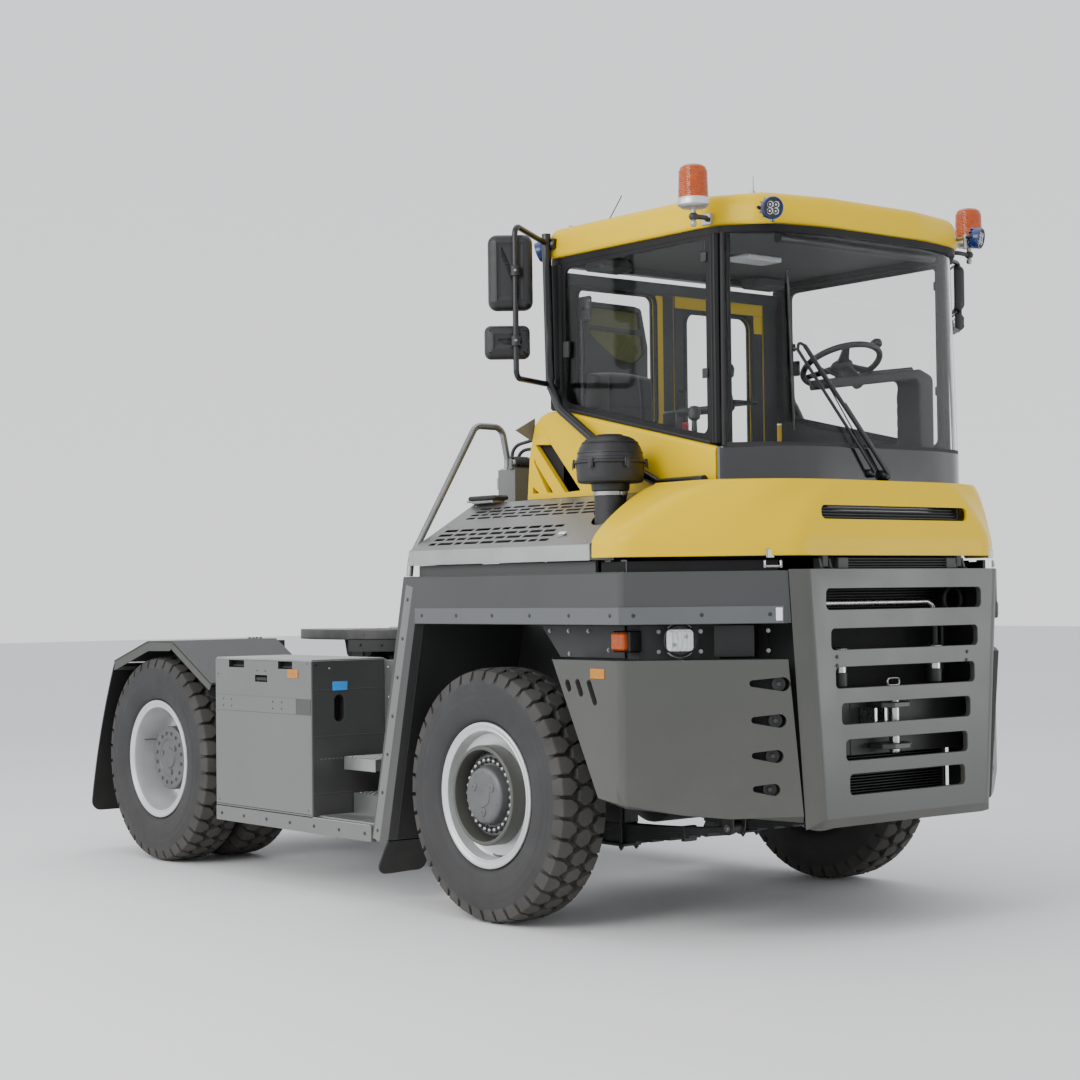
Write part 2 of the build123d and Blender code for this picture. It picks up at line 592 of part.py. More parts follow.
# mirror column on the right rear pillar, and one on the left front pillar
with BuildPart() as mirrors:
    add(tube([(-860, -1246, 3250), (-1140, -1385, 3282), (-1140, -1385, 2560), (-860, -1250, 2560)], 14, 40))
    mp = Plane(origin=(-1140, -1385, 0), x_dir=(0.78, -0.63, 0), z_dir=(0, 0, 1))
    for w0, w1, z0, z1 in ((-130, 82, 2885, 3245), (-150, 66, 2655, 2815)):
        with BuildSketch(Plane(origin=mp.from_local_coords(((w0 + w1) / 2, 46, z0)), x_dir=(0.78, -0.63, 0), z_dir=(0, 0, 1))):
            Rectangle(w1 - w0, 70)
        extrude(amount=z1 - z0)
    add(tube([(800, -2360, 3168), (960, -2300, 3168), (960, -2300, 2830), (800, -2360, 2830)], 12, 40))
    with BuildSketch(Plane(origin=(985, -2262, 2915), x_dir=(0.64, 0.77, 0), z_dir=(0, 0, 1))):
        Rectangle(190, 60)
    extrude(amount=245)
save(mirrors, "mirrors")

with BuildPart() as roof_beacons:
    for s in SIDES:
        add(block(s * 806, s * 990, -2420, -2360, 3196, 3232))
        with BuildSketch(Plane(origin=(s * 930, -2390, 0), x_dir=(1, 0, 0), z_dir=(0, -1, 0))):
            with BuildLine():
                Polyline((0, 3232), (58, 3232), (58, 3262), (66, 3266), (62, 3400), (40, 3428), (0, 3430), close=True)
            make_face()
        revolve(axis=Axis((s * 930, -2390, 0), (0, 0, 1)))
save(roof_beacons, "roof_beacons")

# x, y of the lamp, y of its foot on the roof
with BuildPart() as work_lamps:
    for s in SIDES:
        add(block(s * 640, s * 750, -2668, -2598, 3184, 3270))
        add(block(s * 650, s * 670, -2598, -2530, 3215, 3235))
        add(block(s * 720, s * 820, -1150, -1084, 3184, 3270))
        add(block(s * 760, s * 780, -1184, -1150, 3215, 3235))
    add(cab_roof.part, mode=Mode.SUBTRACT)
save(work_lamps, "work_lamps")

# ---------------------------------------------------------------- sides
LOCKER_Y0, LOCKER_Y1, LOCKER_Z0, LOCKER_Z1 = 225.0, 1220.0, 390.0, 1205.0
with BuildPart() as side_locker_right:
    add(block(-HALF_W, -780, LOCKER_Y0, LOCKER_Y1, LOCKER_Z0, LOCKER_Z1))
    fillet(side_locker_right.edges().filter_by(Axis.Z), 12)
    # y0, y1, z0, z1 of the grips and the latch
    for y0, y1, z0, z1 in ((905, 1065, 1160, 1198), (412, 551, 1160, 1198), (666, 789, 1086, 1121)):
        add(block(-HALF_W, -HALF_W + 45, y0, y1, z0, z1), mode=Mode.SUBTRACT)
    with BuildSketch(xz(LOCKER_Y0)):
        with Locations(Location((-1090, 953, 0), (0, 0, 90))):
            SlotOverall(142, 60)
    extrude(amount=-60, mode=Mode.SUBTRACT)
    add(block(-760, -RAIL_OUT, 400, 520, 860, 980))
    add(block(-760, -RAIL_OUT, 900, 1020, 860, 980))
    add(block(-780, -755, 400, 1020, 800, 1000))
save(side_locker_right, "side_locker_right")

with BuildPart() as fuel_tank_left:
    add(block(HALF_W, 780, LOCKER_Y0, LOCKER_Y1, LOCKER_Z0, LOCKER_Z1))
    fillet(fuel_tank_left.edges().filter_by(Axis.Y), 70)
    add(block(790, RAIL_OUT, 400, 520, 860, 980))
    add(block(790, RAIL_OUT, 900, 1020, 860, 980))
save(fuel_tank_left, "fuel_tank_left")

with BuildPart() as access_steps:
    for s in SIDES:
        add(block(s * 900, s * HALF_W, -300, 223, 362, 388))
        add(block(s * 1232, s * HALF_W, -318, 1215, 306, 386))
        add(block(s * 782, s * 800, -420, 223, 362, 1200))
        add(block(s * 790, s * 910, -300, 223, 362, 388))
        add(block(s * 800, s * 1100, -120, 160, 668, 700))
save(access_steps, "access_steps")

# y, z of the rear fender's outline
FENDER = ((1265, 1065), (1708, 1297), (2008, 1294), (2430, 1172))
with BuildPart() as rear_fenders:
    for s in SIDES:
        pts = list(FENDER) + [(y + 2, z - 14) for y, z in reversed(FENDER)]
        add(slab(pts, yz(-1262 if s < 0 else 560), 702))
        add(block(s * RAIL_OUT, s * 566, 1820, 1900, 960, 1282))
save(rear_fenders, "rear_fenders")

with BuildPart() as mud_flaps:
    for s in SIDES:
        add(slab([(2432, 1150), (2446, 1150), (2770, 240), (2756, 240)], yz(-1255 if s < 0 else 600), 655))
        add(slab([(-462, 320), (-448, 320), (-345, 145), (-359, 145)], yz(-1255 if s < 0 else 960), 295))
save(mud_flaps, "mud_flaps")

# ---------------------------------------------------------------- lift arm and fifth wheel
ARM = ((240, 880), (1080, 935), (1300, 1120), (1300, 1240), (1160, 1260), (1000, 1120), (240, 1045))
with BuildPart() as lift_arm:
    for s in SIDES:
        add(slab(ARM, yz(-ARM_OUT if s < 0 else ARM_IN), ARM_OUT - ARM_IN))
    add(block(-ARM_IN, ARM_IN, 450, 900, 1004, 1034))
    add(rod_x(-300, 300, *TRUNNION, R_TRUNNION))
    for s in SIDES:
        add(rod_x(s * ARM_IN, s * 147, *ROD_EYE, R_EYE_PIN))
    add(rod_x(-300, 300, *PIVOT, R_PIVOT + RUN), mode=Mode.SUBTRACT)
save(lift_arm, "lift_arm")

cyl_dy, cyl_dz = ROD_EYE[0] - CYL_BASE[0], ROD_EYE[1] - CYL_BASE[1]
CYL_LEN = hypot(cyl_dy, cyl_dz)
cyl_u = (cyl_dy / CYL_LEN, cyl_dz / CYL_LEN)


def along(t, x):
    return (x, CYL_BASE[0] + cyl_u[0] * t, CYL_BASE[1] + cyl_u[1] * t)


BARREL_END, ROD_START = 455.0, 62.0
with BuildPart() as lift_barrels:
    for s in SIDES:
        add(rod_x(s * X_CYL - 36, s * X_CYL + 36, *CYL_BASE, 58))
        add(rod_between(along(30, s * X_CYL), along(BARREL_END, s * X_CYL), R_BARREL))
        add(rod_between(along(56, s * X_CYL), along(BARREL_END + 20, s * X_CYL), R_ROD + RUN), mode=Mode.SUBTRACT)
    add(rod_x(-300, 300, *CYL_BASE, R_BASE + RUN), mode=Mode.SUBTRACT)
save(lift_barrels, "lift_barrels")

with BuildPart() as lift_rods:
    for s in SIDES:
        add(rod_x(s * X_CYL - 32, s * X_CYL + 32, *ROD_EYE, 58))
        add(rod_between(along(ROD_START, s * X_CYL), along(CYL_LEN - 40, s * X_CYL), R_ROD))
save(lift_rods, "lift_rods")

with BuildPart() as fifth_wheel:
    with BuildSketch(xy(PLATE_Z0)):
        with BuildLine():
            Polyline((460, 1110), (460, 1450), (400, 1690), (250, 1690), (45, 1310), (-45, 1310), (-250, 1690),
                     (-400, 1690), (-460, 1450), (-460, 1110))
            ThreePointArc((-460, 1110), (0, 750), (460, 1110))
        make_face()
        with Locations((0, TRUNNION[0])):
            Circle(R_KINGPIN_JAW, mode=Mode.SUBTRACT)
    extrude(amount=PLATE_Z1 - PLATE_Z0)
    for s in SIDES:
        add(slab([(1060, 1310), (1090, 1200), (1160, 1140), (1280, 1140), (1350, 1200), (1380, 1310)],
                 yz(-295 if s < 0 else 250), 45))
    add(rod_x(-310, 310, *TRUNNION, R_TRUNNION + RUN), mode=Mode.SUBTRACT)
save(fifth_wheel, "fifth_wheel")

# swing of the lift cylinder over the arm's travel
LIFT = 36.0
a0 = atan2(ROD_EYE[1] - PIVOT[1], ROD_EYE[0] - PIVOT[0])
ra = hypot(ROD_EYE[0] - PIVOT[0], ROD_EYE[1] - PIVOT[1])
for k in range(0, 37):
    a = a0 + radians(k)
    ey, ez = PIVOT[0] + ra * cos(a), PIVOT[1] + ra * sin(a)
    ang = degrees(atan2(ez - CYL_BASE[1], ey - CYL_BASE[0])) - degrees(atan2(cyl_dz, cyl_dy))
    ext = hypot(ey - CYL_BASE[0], ez - CYL_BASE[1]) - CYL_LEN
    if k in (0, 9, 18, 27, 36):
        print("lift", k, "barrel", round(ang, 3), "rod", round(ext, 3))
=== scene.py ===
import bpy
import bmesh
from math import sin, cos, tan, pi, radians, hypot, acos, sqrt, floor
from mathutils import Vector, Matrix


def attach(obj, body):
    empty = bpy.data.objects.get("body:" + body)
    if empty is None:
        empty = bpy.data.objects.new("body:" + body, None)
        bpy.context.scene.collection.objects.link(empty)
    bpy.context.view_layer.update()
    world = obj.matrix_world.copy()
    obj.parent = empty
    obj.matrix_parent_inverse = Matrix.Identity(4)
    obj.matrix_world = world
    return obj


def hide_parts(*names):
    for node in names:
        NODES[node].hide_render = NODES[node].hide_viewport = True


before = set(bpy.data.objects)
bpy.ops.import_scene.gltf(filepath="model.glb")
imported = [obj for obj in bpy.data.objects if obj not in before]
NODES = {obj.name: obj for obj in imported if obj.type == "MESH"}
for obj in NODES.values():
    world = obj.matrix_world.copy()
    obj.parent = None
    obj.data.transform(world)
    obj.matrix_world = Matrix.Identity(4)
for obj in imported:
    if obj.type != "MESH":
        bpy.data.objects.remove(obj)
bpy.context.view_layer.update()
SIDES = ((-1, "right"), (1, "left"))

# ------------------------------------------------------------------ camera, floor and light
cam_data = bpy.data.cameras.new("camera")
cam = bpy.data.objects.new("camera", cam_data)
bpy.context.scene.collection.objects.link(cam)
cam_data.sensor_width = 36.0
cam_data.lens = 70.11
cam_data.clip_end = 200.0
yaw, pitch, roll = 0.678, 0.025, -0.012
fwd = Vector((sin(yaw) * cos(pitch), cos(yaw) * cos(pitch), sin(pitch)))
right0 = Vector((cos(yaw), -sin(yaw), 0.0))
up0 = right0.cross(fwd)
right = right0 * cos(roll) + up0 * sin(roll)
up = up0 * cos(roll) - right0 * sin(roll)
cam.matrix_world = Matrix(((right.x, up.x, -fwd.x, -7.246), (right.y, up.y, -fwd.y, -9.129),
                           (right.z, up.z, -fwd.z, 1.551), (0, 0, 0, 1)))
bpy.context.scene.camera = cam


# ------------------------------------------------------------------ materials
def base_nodes(name):
    m = bpy.data.materials.new(name)
    m.use_nodes = True
    nt = m.node_tree
    nt.nodes.clear()
    out = nt.nodes.new("ShaderNodeOutputMaterial")
    b = nt.nodes.new("ShaderNodeBsdfPrincipled")
    nt.links.new(b.outputs[0], out.inputs[0])
    tc = nt.nodes.new("ShaderNodeTexCoord")
    return m, nt, b, tc


def noise(nt, tc, scale, detail=4.0, stretch=None):
    n = nt.nodes.new("ShaderNodeTexNoise")
    n.inputs["Scale"].default_value = scale
    n.inputs["Detail"].default_value = detail
    if stretch:
        mp = nt.nodes.new("ShaderNodeMapping")
        mp.inputs["Scale"].default_value = stretch
        nt.links.new(tc.outputs["Object"], mp.inputs["Vector"])
        nt.links.new(mp.outputs[0], n.inputs["Vector"])
    else:
        nt.links.new(tc.outputs["Object"], n.inputs["Vector"])
    return n


def ramp(nt, fac, stops):
    r = nt.nodes.new("ShaderNodeValToRGB")
    el = r.color_ramp.elements
    el[0].position, el[0].color = stops[0][0], (*stops[0][1], 1)
    el[1].position, el[1].color = stops[-1][0], (*stops[-1][1], 1)
    for p, c in stops[1:-1]:
        e = el.new(p)
        e.color = (*c, 1)
    nt.links.new(fac, r.inputs[0])
    return r


def scaled(c, k):
    return tuple(min(1.0, x * k) for x in c)


def surface(name, color, rough=0.45, metal=0.0, var=0.07, scale=2.5, rough_var=0.08, bump=0.06, grain=180.0,
            coat=0.0, coat_rough=0.1, spec=0.5, stretch=None, dirt=None, sheen=0.0):
    """Paint, plastic, metal or rubber: colour drift, uneven gloss and a fine grain."""
    m, nt, b, tc = base_nodes(name)
    n1 = noise(nt, tc, scale, 5.0, stretch)
    col = ramp(nt, n1.outputs[0], ((0.3, scaled(color, 1 - var)), (0.5, color), (0.72, scaled(color, 1 + var))))
    out = col.outputs[0]
    if dirt:
        # settled dust: stronger low down, broken up by noise
        dcol, z0, z1, amount = dirt
        sep = nt.nodes.new("ShaderNodeSeparateXYZ")
        nt.links.new(tc.outputs["Object"], sep.inputs[0])
        mr = nt.nodes.new("ShaderNodeMapRange")
        mr.inputs[1].default_value, mr.inputs[2].default_value = z0, z1
        mr.inputs[3].default_value, mr.inputs[4].default_value = amount, 0.0
        nt.links.new(sep.outputs[2], mr.inputs[0])
        n4 = noise(nt, tc, 7.0, 6.0)
        mul = nt.nodes.new("ShaderNodeMath")
        mul.operation = "MULTIPLY"
        nt.links.new(mr.outputs[0], mul.inputs[0])
        nt.links.new(n4.outputs[0], mul.inputs[1])
        mix = nt.nodes.new("ShaderNodeMixRGB")
        nt.links.new(mul.outputs[0], mix.inputs[0])
        nt.links.new(out, mix.inputs[1])
        mix.inputs[2].default_value = (*dcol, 1)
        out = mix.outputs[0]
    nt.links.new(out, b.inputs["Base Color"])
    n2 = noise(nt, tc, scale * 4.0, 4.0, stretch)
    rr = nt.nodes.new("ShaderNodeMapRange")
    rr.inputs[3].default_value = max(0.02, rough - rough_var)
    rr.inputs[4].default_value = min(1.0, rough + rough_var)
    nt.links.new(n2.outputs[0], rr.inputs[0])
    nt.links.new(rr.outputs[0], b.inputs["Roughness"])
    b.inputs["Metallic"].default_value = metal
    b.inputs["Specular IOR Level"].default_value = spec
    b.inputs["Coat Weight"].default_value = coat
    b.inputs["Coat Roughness"].default_value = coat_rough
    if sheen:
        b.inputs["Sheen Weight"].default_value = sheen
    if bump:
        n3 = noise(nt, tc, grain, 3.0, stretch)
        bp = nt.nodes.new("ShaderNodeBump")
        bp.inputs["Strength"].default_value = bump
        bp.inputs["Distance"].default_value = 0.002
        nt.links.new(n3.outputs[0], bp.inputs["Height"])
        nt.links.new(bp.outputs[0], b.inputs["Normal"])
    return m


def glass(name, color, rough=0.0):
    m, nt, b, tc = base_nodes(name)
    n1 = noise(nt, tc, 1.3, 3.0)
    col = ramp(nt, n1.outputs[0], ((0.3, scaled(color, 0.97)), (0.7, color)))
    nt.links.new(col.outputs[0], b.inputs["Base Color"])
    b.inputs["Roughness"].default_value = rough
    b.inputs["IOR"].default_value = 1.22
    b.inputs["Transmission Weight"].default_value = 1.0
    return m


def lens(name, color, glow=0.0, coat=0.8):
    """Moulded lamp lens: ribbed, clear-coated plastic."""
    m, nt, b, tc = base_nodes(name)
    n1 = noise(nt, tc, 40.0, 2.0)
    col = ramp(nt, n1.outputs[0], ((0.35, scaled(color, 0.75)), (0.7, color)))
    nt.links.new(col.outputs[0], b.inputs["Base Color"])
    w = nt.nodes.new("ShaderNodeTexWave")
    w.inputs["Scale"].default_value = 60.0
    w.bands_direction = "DIAGONAL"
    nt.links.new(tc.outputs["Object"], w.inputs["Vector"])
    bp = nt.nodes.new("ShaderNodeBump")
    bp.inputs["Strength"].default_value = 0.25
    bp.inputs["Distance"].default_value = 0.002
    nt.links.new(w.outputs[1], bp.inputs["Height"])
    nt.links.new(bp.outputs[0], b.inputs["Normal"])
    b.inputs["Roughness"].default_value = 0.12
    b.inputs["Coat Weight"].default_value = coat
    b.inputs["Coat Roughness"].default_value = 0.04
    b.inputs["Transmission Weight"].default_value = 0.35
    if glow:
        b.inputs["Emission Color"].default_value = (*color, 1)
        b.inputs["Emission Strength"].default_value = glow
    return m


def cloth(name, color, scale=420.0):
    m, nt, b, tc = base_nodes(name)
    n1 = noise(nt, tc, 9.0, 4.0)
    col = ramp(nt, n1.outputs[0], ((0.3, scaled(color, 0.75)), (0.7, scaled(color, 1.2))))
    nt.links.new(col.outputs[0], b.inputs["Base Color"])
    b.inputs["Roughness"].default_value = 0.92
    b.inputs["Sheen Weight"].default_value = 0.25
    waves = []
    for d in ("X", "Z"):
        w = nt.nodes.new("ShaderNodeTexWave")
        w.bands_direction = d
        w.inputs["Scale"].default_value = scale / 4.0
        nt.links.new(tc.outputs["Object"], w.inputs["Vector"])
        waves.append(w)
    mx = nt.nodes.new("ShaderNodeMath")
    mx.operation = "MAXIMUM"
    nt.links.new(waves[0].outputs[1], mx.inputs[0])
    nt.links.new(waves[1].outputs[1], mx.inputs[1])
    bp = nt.nodes.new("ShaderNodeBump")
    bp.inputs["Strength"].default_value = 0.5
    bp.inputs["Distance"].default_value = 0.0015
    nt.links.new(mx.outputs[0], bp.inputs["Height"])
    nt.links.new(bp.outputs[0], b.inputs["Normal"])
    return m


DUST = (0.30, 0.27, 0.22)
YELLOW = surface("yellow_paint", (0.700, 0.465, 0.000), 0.34, var=0.03, scale=1.2, rough_var=0.05, bump=0.02, grain=90,
                 coat=0.06, coat_rough=0.07, spec=0.14)
OLIVE = surface("olive_paint", (0.054, 0.056, 0.049), 0.42, var=0.08, scale=1.6, bump=0.05, grain=260, spec=0.55,
                dirt=(DUST, 0.1, 1.2, 0.16))
# darker copy of the olive body paint: painted shade for the fender band, rear fenders, steps, lift arm and the locker's
# front
OLIVE_SHADED = surface("olive_shaded_paint", (0.042, 0.045, 0.044), 0.38, var=0.08, scale=1.6, bump=0.05, grain=260, spec=0.5,
                     dirt=(DUST, 0.1, 1.2, 0.12))
STEEL_PAINT = surface("trim_strip_paint", (0.085, 0.090, 0.094), 0.40, var=0.06, scale=2.0, bump=0.04, grain=240, spec=0.55)
# the olive body paint made lighter and partly metallic for the nose face: painted sheen
FACE_SHEEN = surface("grille_face_sheen_paint", (0.066, 0.068, 0.065), 0.34, metal=0.35, var=0.05, scale=1.2, bump=0.05, grain=260, spec=0.6)
GREY = surface("grey_paint", (0.132, 0.136, 0.132), 0.40, var=0.05, scale=1.4, bump=0.04, grain=260, spec=0.5,
               dirt=(DUST, 0.2, 1.0, 0.14))
BLACK = surface("black_paint", (0.0055, 0.0055, 0.0065), 0.32, var=0.15, scale=3.0, bump=0.04, grain=200)
PILLAR = surface("pillar_black", (0.0040, 0.0040, 0.0045), 0.50, var=0.15, scale=3.0, bump=0.03, grain=200, spec=0.25)
GLOSS = surface("gloss_black_paint", (0.0075, 0.0075, 0.009), 0.16, var=0.15, scale=3.0, rough_var=0.04, bump=0.01, grain=120, coat=0.5, coat_rough=0.06)
CHASSIS = surface("chassis_paint", (0.018, 0.019, 0.019), 0.50, var=0.15, scale=3.0, bump=0.10, grain=160,
                  dirt=(DUST, 0.2, 1.1, 0.10))
# near-black sheets and boxes put where only shade is seen: painted shade
SHADE_BLACK = surface("shadow_black", (0.004, 0.004, 0.0045), 0.85, var=0.2, bump=0.05)
GALV = surface("galvanised_sheet", (0.40, 0.405, 0.40), 0.36, metal=0.85, var=0.10, scale=6.0, bump=0.05, grain=120)
DECK = surface("deck_sheet", (0.270, 0.268, 0.258), 0.40, metal=0.85, var=0.08, scale=4.0, bump=0.05, grain=160)
RAILTUBE = surface("handrail_tube", (0.250, 0.258, 0.265), 0.30, metal=0.85, var=0.08, scale=6.0, bump=0.04, grain=160)
FACETS = surface("lamp_facets", (0.72, 0.74, 0.75), 0.22, metal=0.25, var=0.05, scale=10.0, rough_var=0.05, bump=0.0)
RIM = surface("rim_silver", (0.60, 0.61, 0.61), 0.34, metal=0.55, var=0.06, scale=5.0, bump=0.05, grain=220)
TYRE = surface("tyre_rubber", (0.024, 0.0245, 0.026), 0.62, var=0.22, scale=5.0, rough_var=0.14, bump=0.22, grain=240, spec=0.4,
               dirt=(DUST, -0.2, 1.3, 0.10))
TREAD = surface("tyre_tread", (0.046, 0.045, 0.043), 0.78, var=0.25, scale=6.0, rough_var=0.10, bump=0.35, grain=200, spec=0.3,
                dirt=(DUST, -0.2, 1.5, 0.16))
CAST = surface("dark_casting", (0.030, 0.032, 0.031), 0.55, var=0.2, scale=8.0, bump=0.30, grain=150)
HUBGREY = surface("hub_casting", (0.115, 0.118, 0.118), 0.45, metal=0.35, var=0.12, scale=9.0, bump=0.25, grain=160)
STEEL = surface("bare_steel", (0.50, 0.50, 0.49), 0.28, metal=1.0, var=0.08, scale=20.0, bump=0.06, grain=200)
ALU = surface("cast_aluminium", (0.62, 0.63, 0.64), 0.42, metal=0.8, var=0.05, scale=12.0, bump=0.10, grain=260)
SURROUND = surface("belt_red", (0.35, 0.012, 0.010), 0.5, var=0.1, scale=20.0, bump=0.1)
ZINC = surface("zinc_fastener", (0.33, 0.335, 0.33), 0.36, metal=0.9, var=0.12, scale=30.0, bump=0.08, grain=300)
CHROME = surface("hard_chrome", (0.62, 0.62, 0.63), 0.10, metal=1.0, var=0.03, scale=6.0, rough_var=0.04, bump=0.0)
GREASED = surface("greased_plate", (0.075, 0.075, 0.072), 0.34, metal=0.55, var=0.3, scale=7.0, rough_var=0.16, bump=0.20, grain=70)
PLASTIC = surface("black_plastic", (0.0085, 0.0085, 0.0095), 0.46, var=0.12, scale=5.0, bump=0.14, grain=420)
TRIM = surface("interior_trim", (0.020, 0.021, 0.022), 0.66, var=0.12, scale=5.0, bump=0.25, grain=330)
LINER = surface("headliner", (0.052, 0.056, 0.056), 0.85, var=0.08, scale=6.0, bump=0.2, grain=300)
RUBBER = surface("black_rubber", (0.0100, 0.0100, 0.0105), 0.72, var=0.15, scale=6.0, bump=0.12, grain=240)
FLAP = surface("flap_rubber", (0.0050, 0.0050, 0.0055), 0.60, var=0.2, scale=3.0, bump=0.15, grain=120,
               dirt=(DUST, 0.1, 0.9, 0.10))
BLUE = surface("blue_housing", (0.006, 0.022, 0.12), 0.34, var=0.10, scale=8.0, bump=0.10, grain=300, coat=0.3)
LABEL_BLUE = surface("blank_blue_plate", (0.02, 0.30, 0.80), 0.40, var=0.04, bump=0.02)
REFLECT = lens("amber_reflector", (0.80, 0.30, 0.0), 0.0, 0.1)
AMBER = lens("amber_lens", (0.60, 0.095, 0.000), 0.02, 0.06)
RED = lens("red_lens", (0.55, 0.010, 0.008))
CLEAR = lens("clear_lens", (0.86, 0.87, 0.87))
WHITE = surface("white_reflector", (0.72, 0.73, 0.74), 0.35, var=0.04, bump=0.05)
GLASS = glass("tinted_glass", (0.955, 0.98, 0.97))
MIRROR = surface("mirror_glass", (0.80, 0.82, 0.83), 0.03, metal=1.0, var=0.02, rough_var=0.01, bump=0.0)
SEAT = cloth("seat_cloth", (0.0065, 0.0065, 0.007))
MESH = surface("olive_mesh", (0.115, 0.115, 0.045), 0.75, var=0.12, scale=60.0, bump=0.4, grain=500)
HOSE = surface("rubber_hose", (0.010, 0.010, 0.011), 0.50, var=0.1, scale=20.0, bump=0.2, grain=300)
FINS = surface("cooler_fins", (0.014, 0.014, 0.015), 0.55, var=0.2, scale=30.0, bump=0.2, grain=200)


# ------------------------------------------------------------------ mesh tools, millimetres in, metres out
MM = 0.001


def V(*a):
    return Vector(a)


def basis(axis, ref=None):
    """Two unit vectors square to an axis."""
    n = Vector(axis).normalized()
    r = Vector(ref) if ref else (V(0, 0, 1) if abs(n.z) < 0.9 else V(1, 0, 0))
    a = (r - n * r.dot(n)).normalized()
    return a, n.cross(a), n


def fillet2d(pts, radii, seg=5):
    """Closed polygon with rounded corners."""
    n, out = len(pts), []
    if not isinstance(radii, (list, tuple)):
        radii = [radii] * n
    for i in range(n):
        p0, p, p1 = Vector(pts[i - 1]), Vector(pts[i]), Vector(pts[(i + 1) % n])
        a, b = (p0 - p), (p1 - p)
        la, lb, r = a.length, b.length, radii[i]
        a, b = a / la, b / lb
        ang = acos(max(-1, min(1, a.dot(b))))
        if r <= 0 or ang > pi - 0.01 or ang < 0.01:
            out.append(p)
            continue
        t = min(r / tan(ang / 2), 0.49 * la, 0.49 * lb)
        r = t * tan(ang / 2)
        c = p + (a + b).normalized() * (r / sin(ang / 2))
        s, e = p + a * t - c, p + b * t - c
        for k in range(seg + 1):
            f = k / seg
            th = (pi - ang) * f
            w1 = sin(pi - ang - th) / sin(pi - ang)
            w2 = sin(th) / sin(pi - ang)
            out.append(c + s * w1 + e * w2)
    return out


def rrect(cx, cy, w, h, r, seg=5):
    return fillet2d([(cx - w / 2, cy - h / 2), (cx + w / 2, cy - h / 2), (cx + w / 2, cy + h / 2), (cx - w / 2, cy + h / 2)], r, seg)


def oblong(cx, cy, length, width, ang=0.0, seg=6):
    r, h, out = width / 2, (length - width) / 2, []
    for e, s in ((h, -90), (-h, 90)):
        for k in range(seg + 1):
            t = radians(s + 180 * k / seg)
            out.append((e + r * cos(t), r * sin(t)))
    c, s = cos(radians(ang)), sin(radians(ang))
    return [Vector((cx + x * c - y * s, cy + x * s + y * c)) for x, y in out]


def circle2d(cx, cy, r, seg=20):
    return [Vector((cx + r * cos(2 * pi * k / seg), cy + r * sin(2 * pi * k / seg))) for k in range(seg)]


def inside2d(p, poly):
    x, y, c = p[0], p[1], False
    n = len(poly)
    for i in range(n):
        a, b = poly[i], poly[i - 1]
        if (a[1] > y) != (b[1] > y) and x < (b[0] - a[0]) * (y - a[1]) / (b[1] - a[1]) + a[0]:
            c = not c
    return c


def bent(pts, bend, seg=6):
    """Open path with rounded corners."""
    pts = [Vector(p) for p in pts]
    if bend <= 0 or len(pts) < 3:
        return pts
    out = [pts[0]]
    for i in range(1, len(pts) - 1):
        p0, p, p1 = pts[i - 1], pts[i], pts[i + 1]
        a, b = (p0 - p), (p1 - p)
        la, lb = a.length, b.length
        a, b = a / la, b / lb
        ang = acos(max(-1, min(1, a.dot(b))))
        if ang > pi - 0.02:
            out.append(p)
            continue
        t = min(bend / tan(ang / 2), 0.48 * la, 0.48 * lb)
        r = t * tan(ang / 2)
        c = p + (a + b).normalized() * (r / sin(ang / 2))
        s, e = p + a * t - c, p + b * t - c
        for k in range(seg + 1):
            th = (pi - ang) * k / seg
            out.append(c + s * (sin(pi - ang - th) / sin(pi - ang)) + e * (sin(th) / sin(pi - ang)))
    out.append(pts[-1])
    return out


def resample(pts, n):
    """n points evenly along an open line."""
    pts = [Vector(p) for p in pts]
    cum = [0.0]
    for a, b in zip(pts, pts[1:]):
        cum.append(cum[-1] + (b - a).length)
    out, j = [], 0
    for k in range(n):
        d = cum[-1] * k / (n - 1)
        while j < len(pts) - 2 and cum[j + 1] < d:
            j += 1
        seg = max(1e-9, cum[j + 1] - cum[j])
        out.append(pts[j].lerp(pts[j + 1], min(1.0, max(0.0, (d - cum[j]) / seg))))
    return out


def offset_line(pts, d):
    """An open plan line moved sideways, to the left of its direction when d is above 0."""
    out = []
    for i in range(len(pts)):
        t = (pts[min(i + 1, len(pts) - 1)] - pts[max(i - 1, 0)]).normalized()
        out.append(pts[i] + Vector((-t.y, t.x)) * d)
    return out


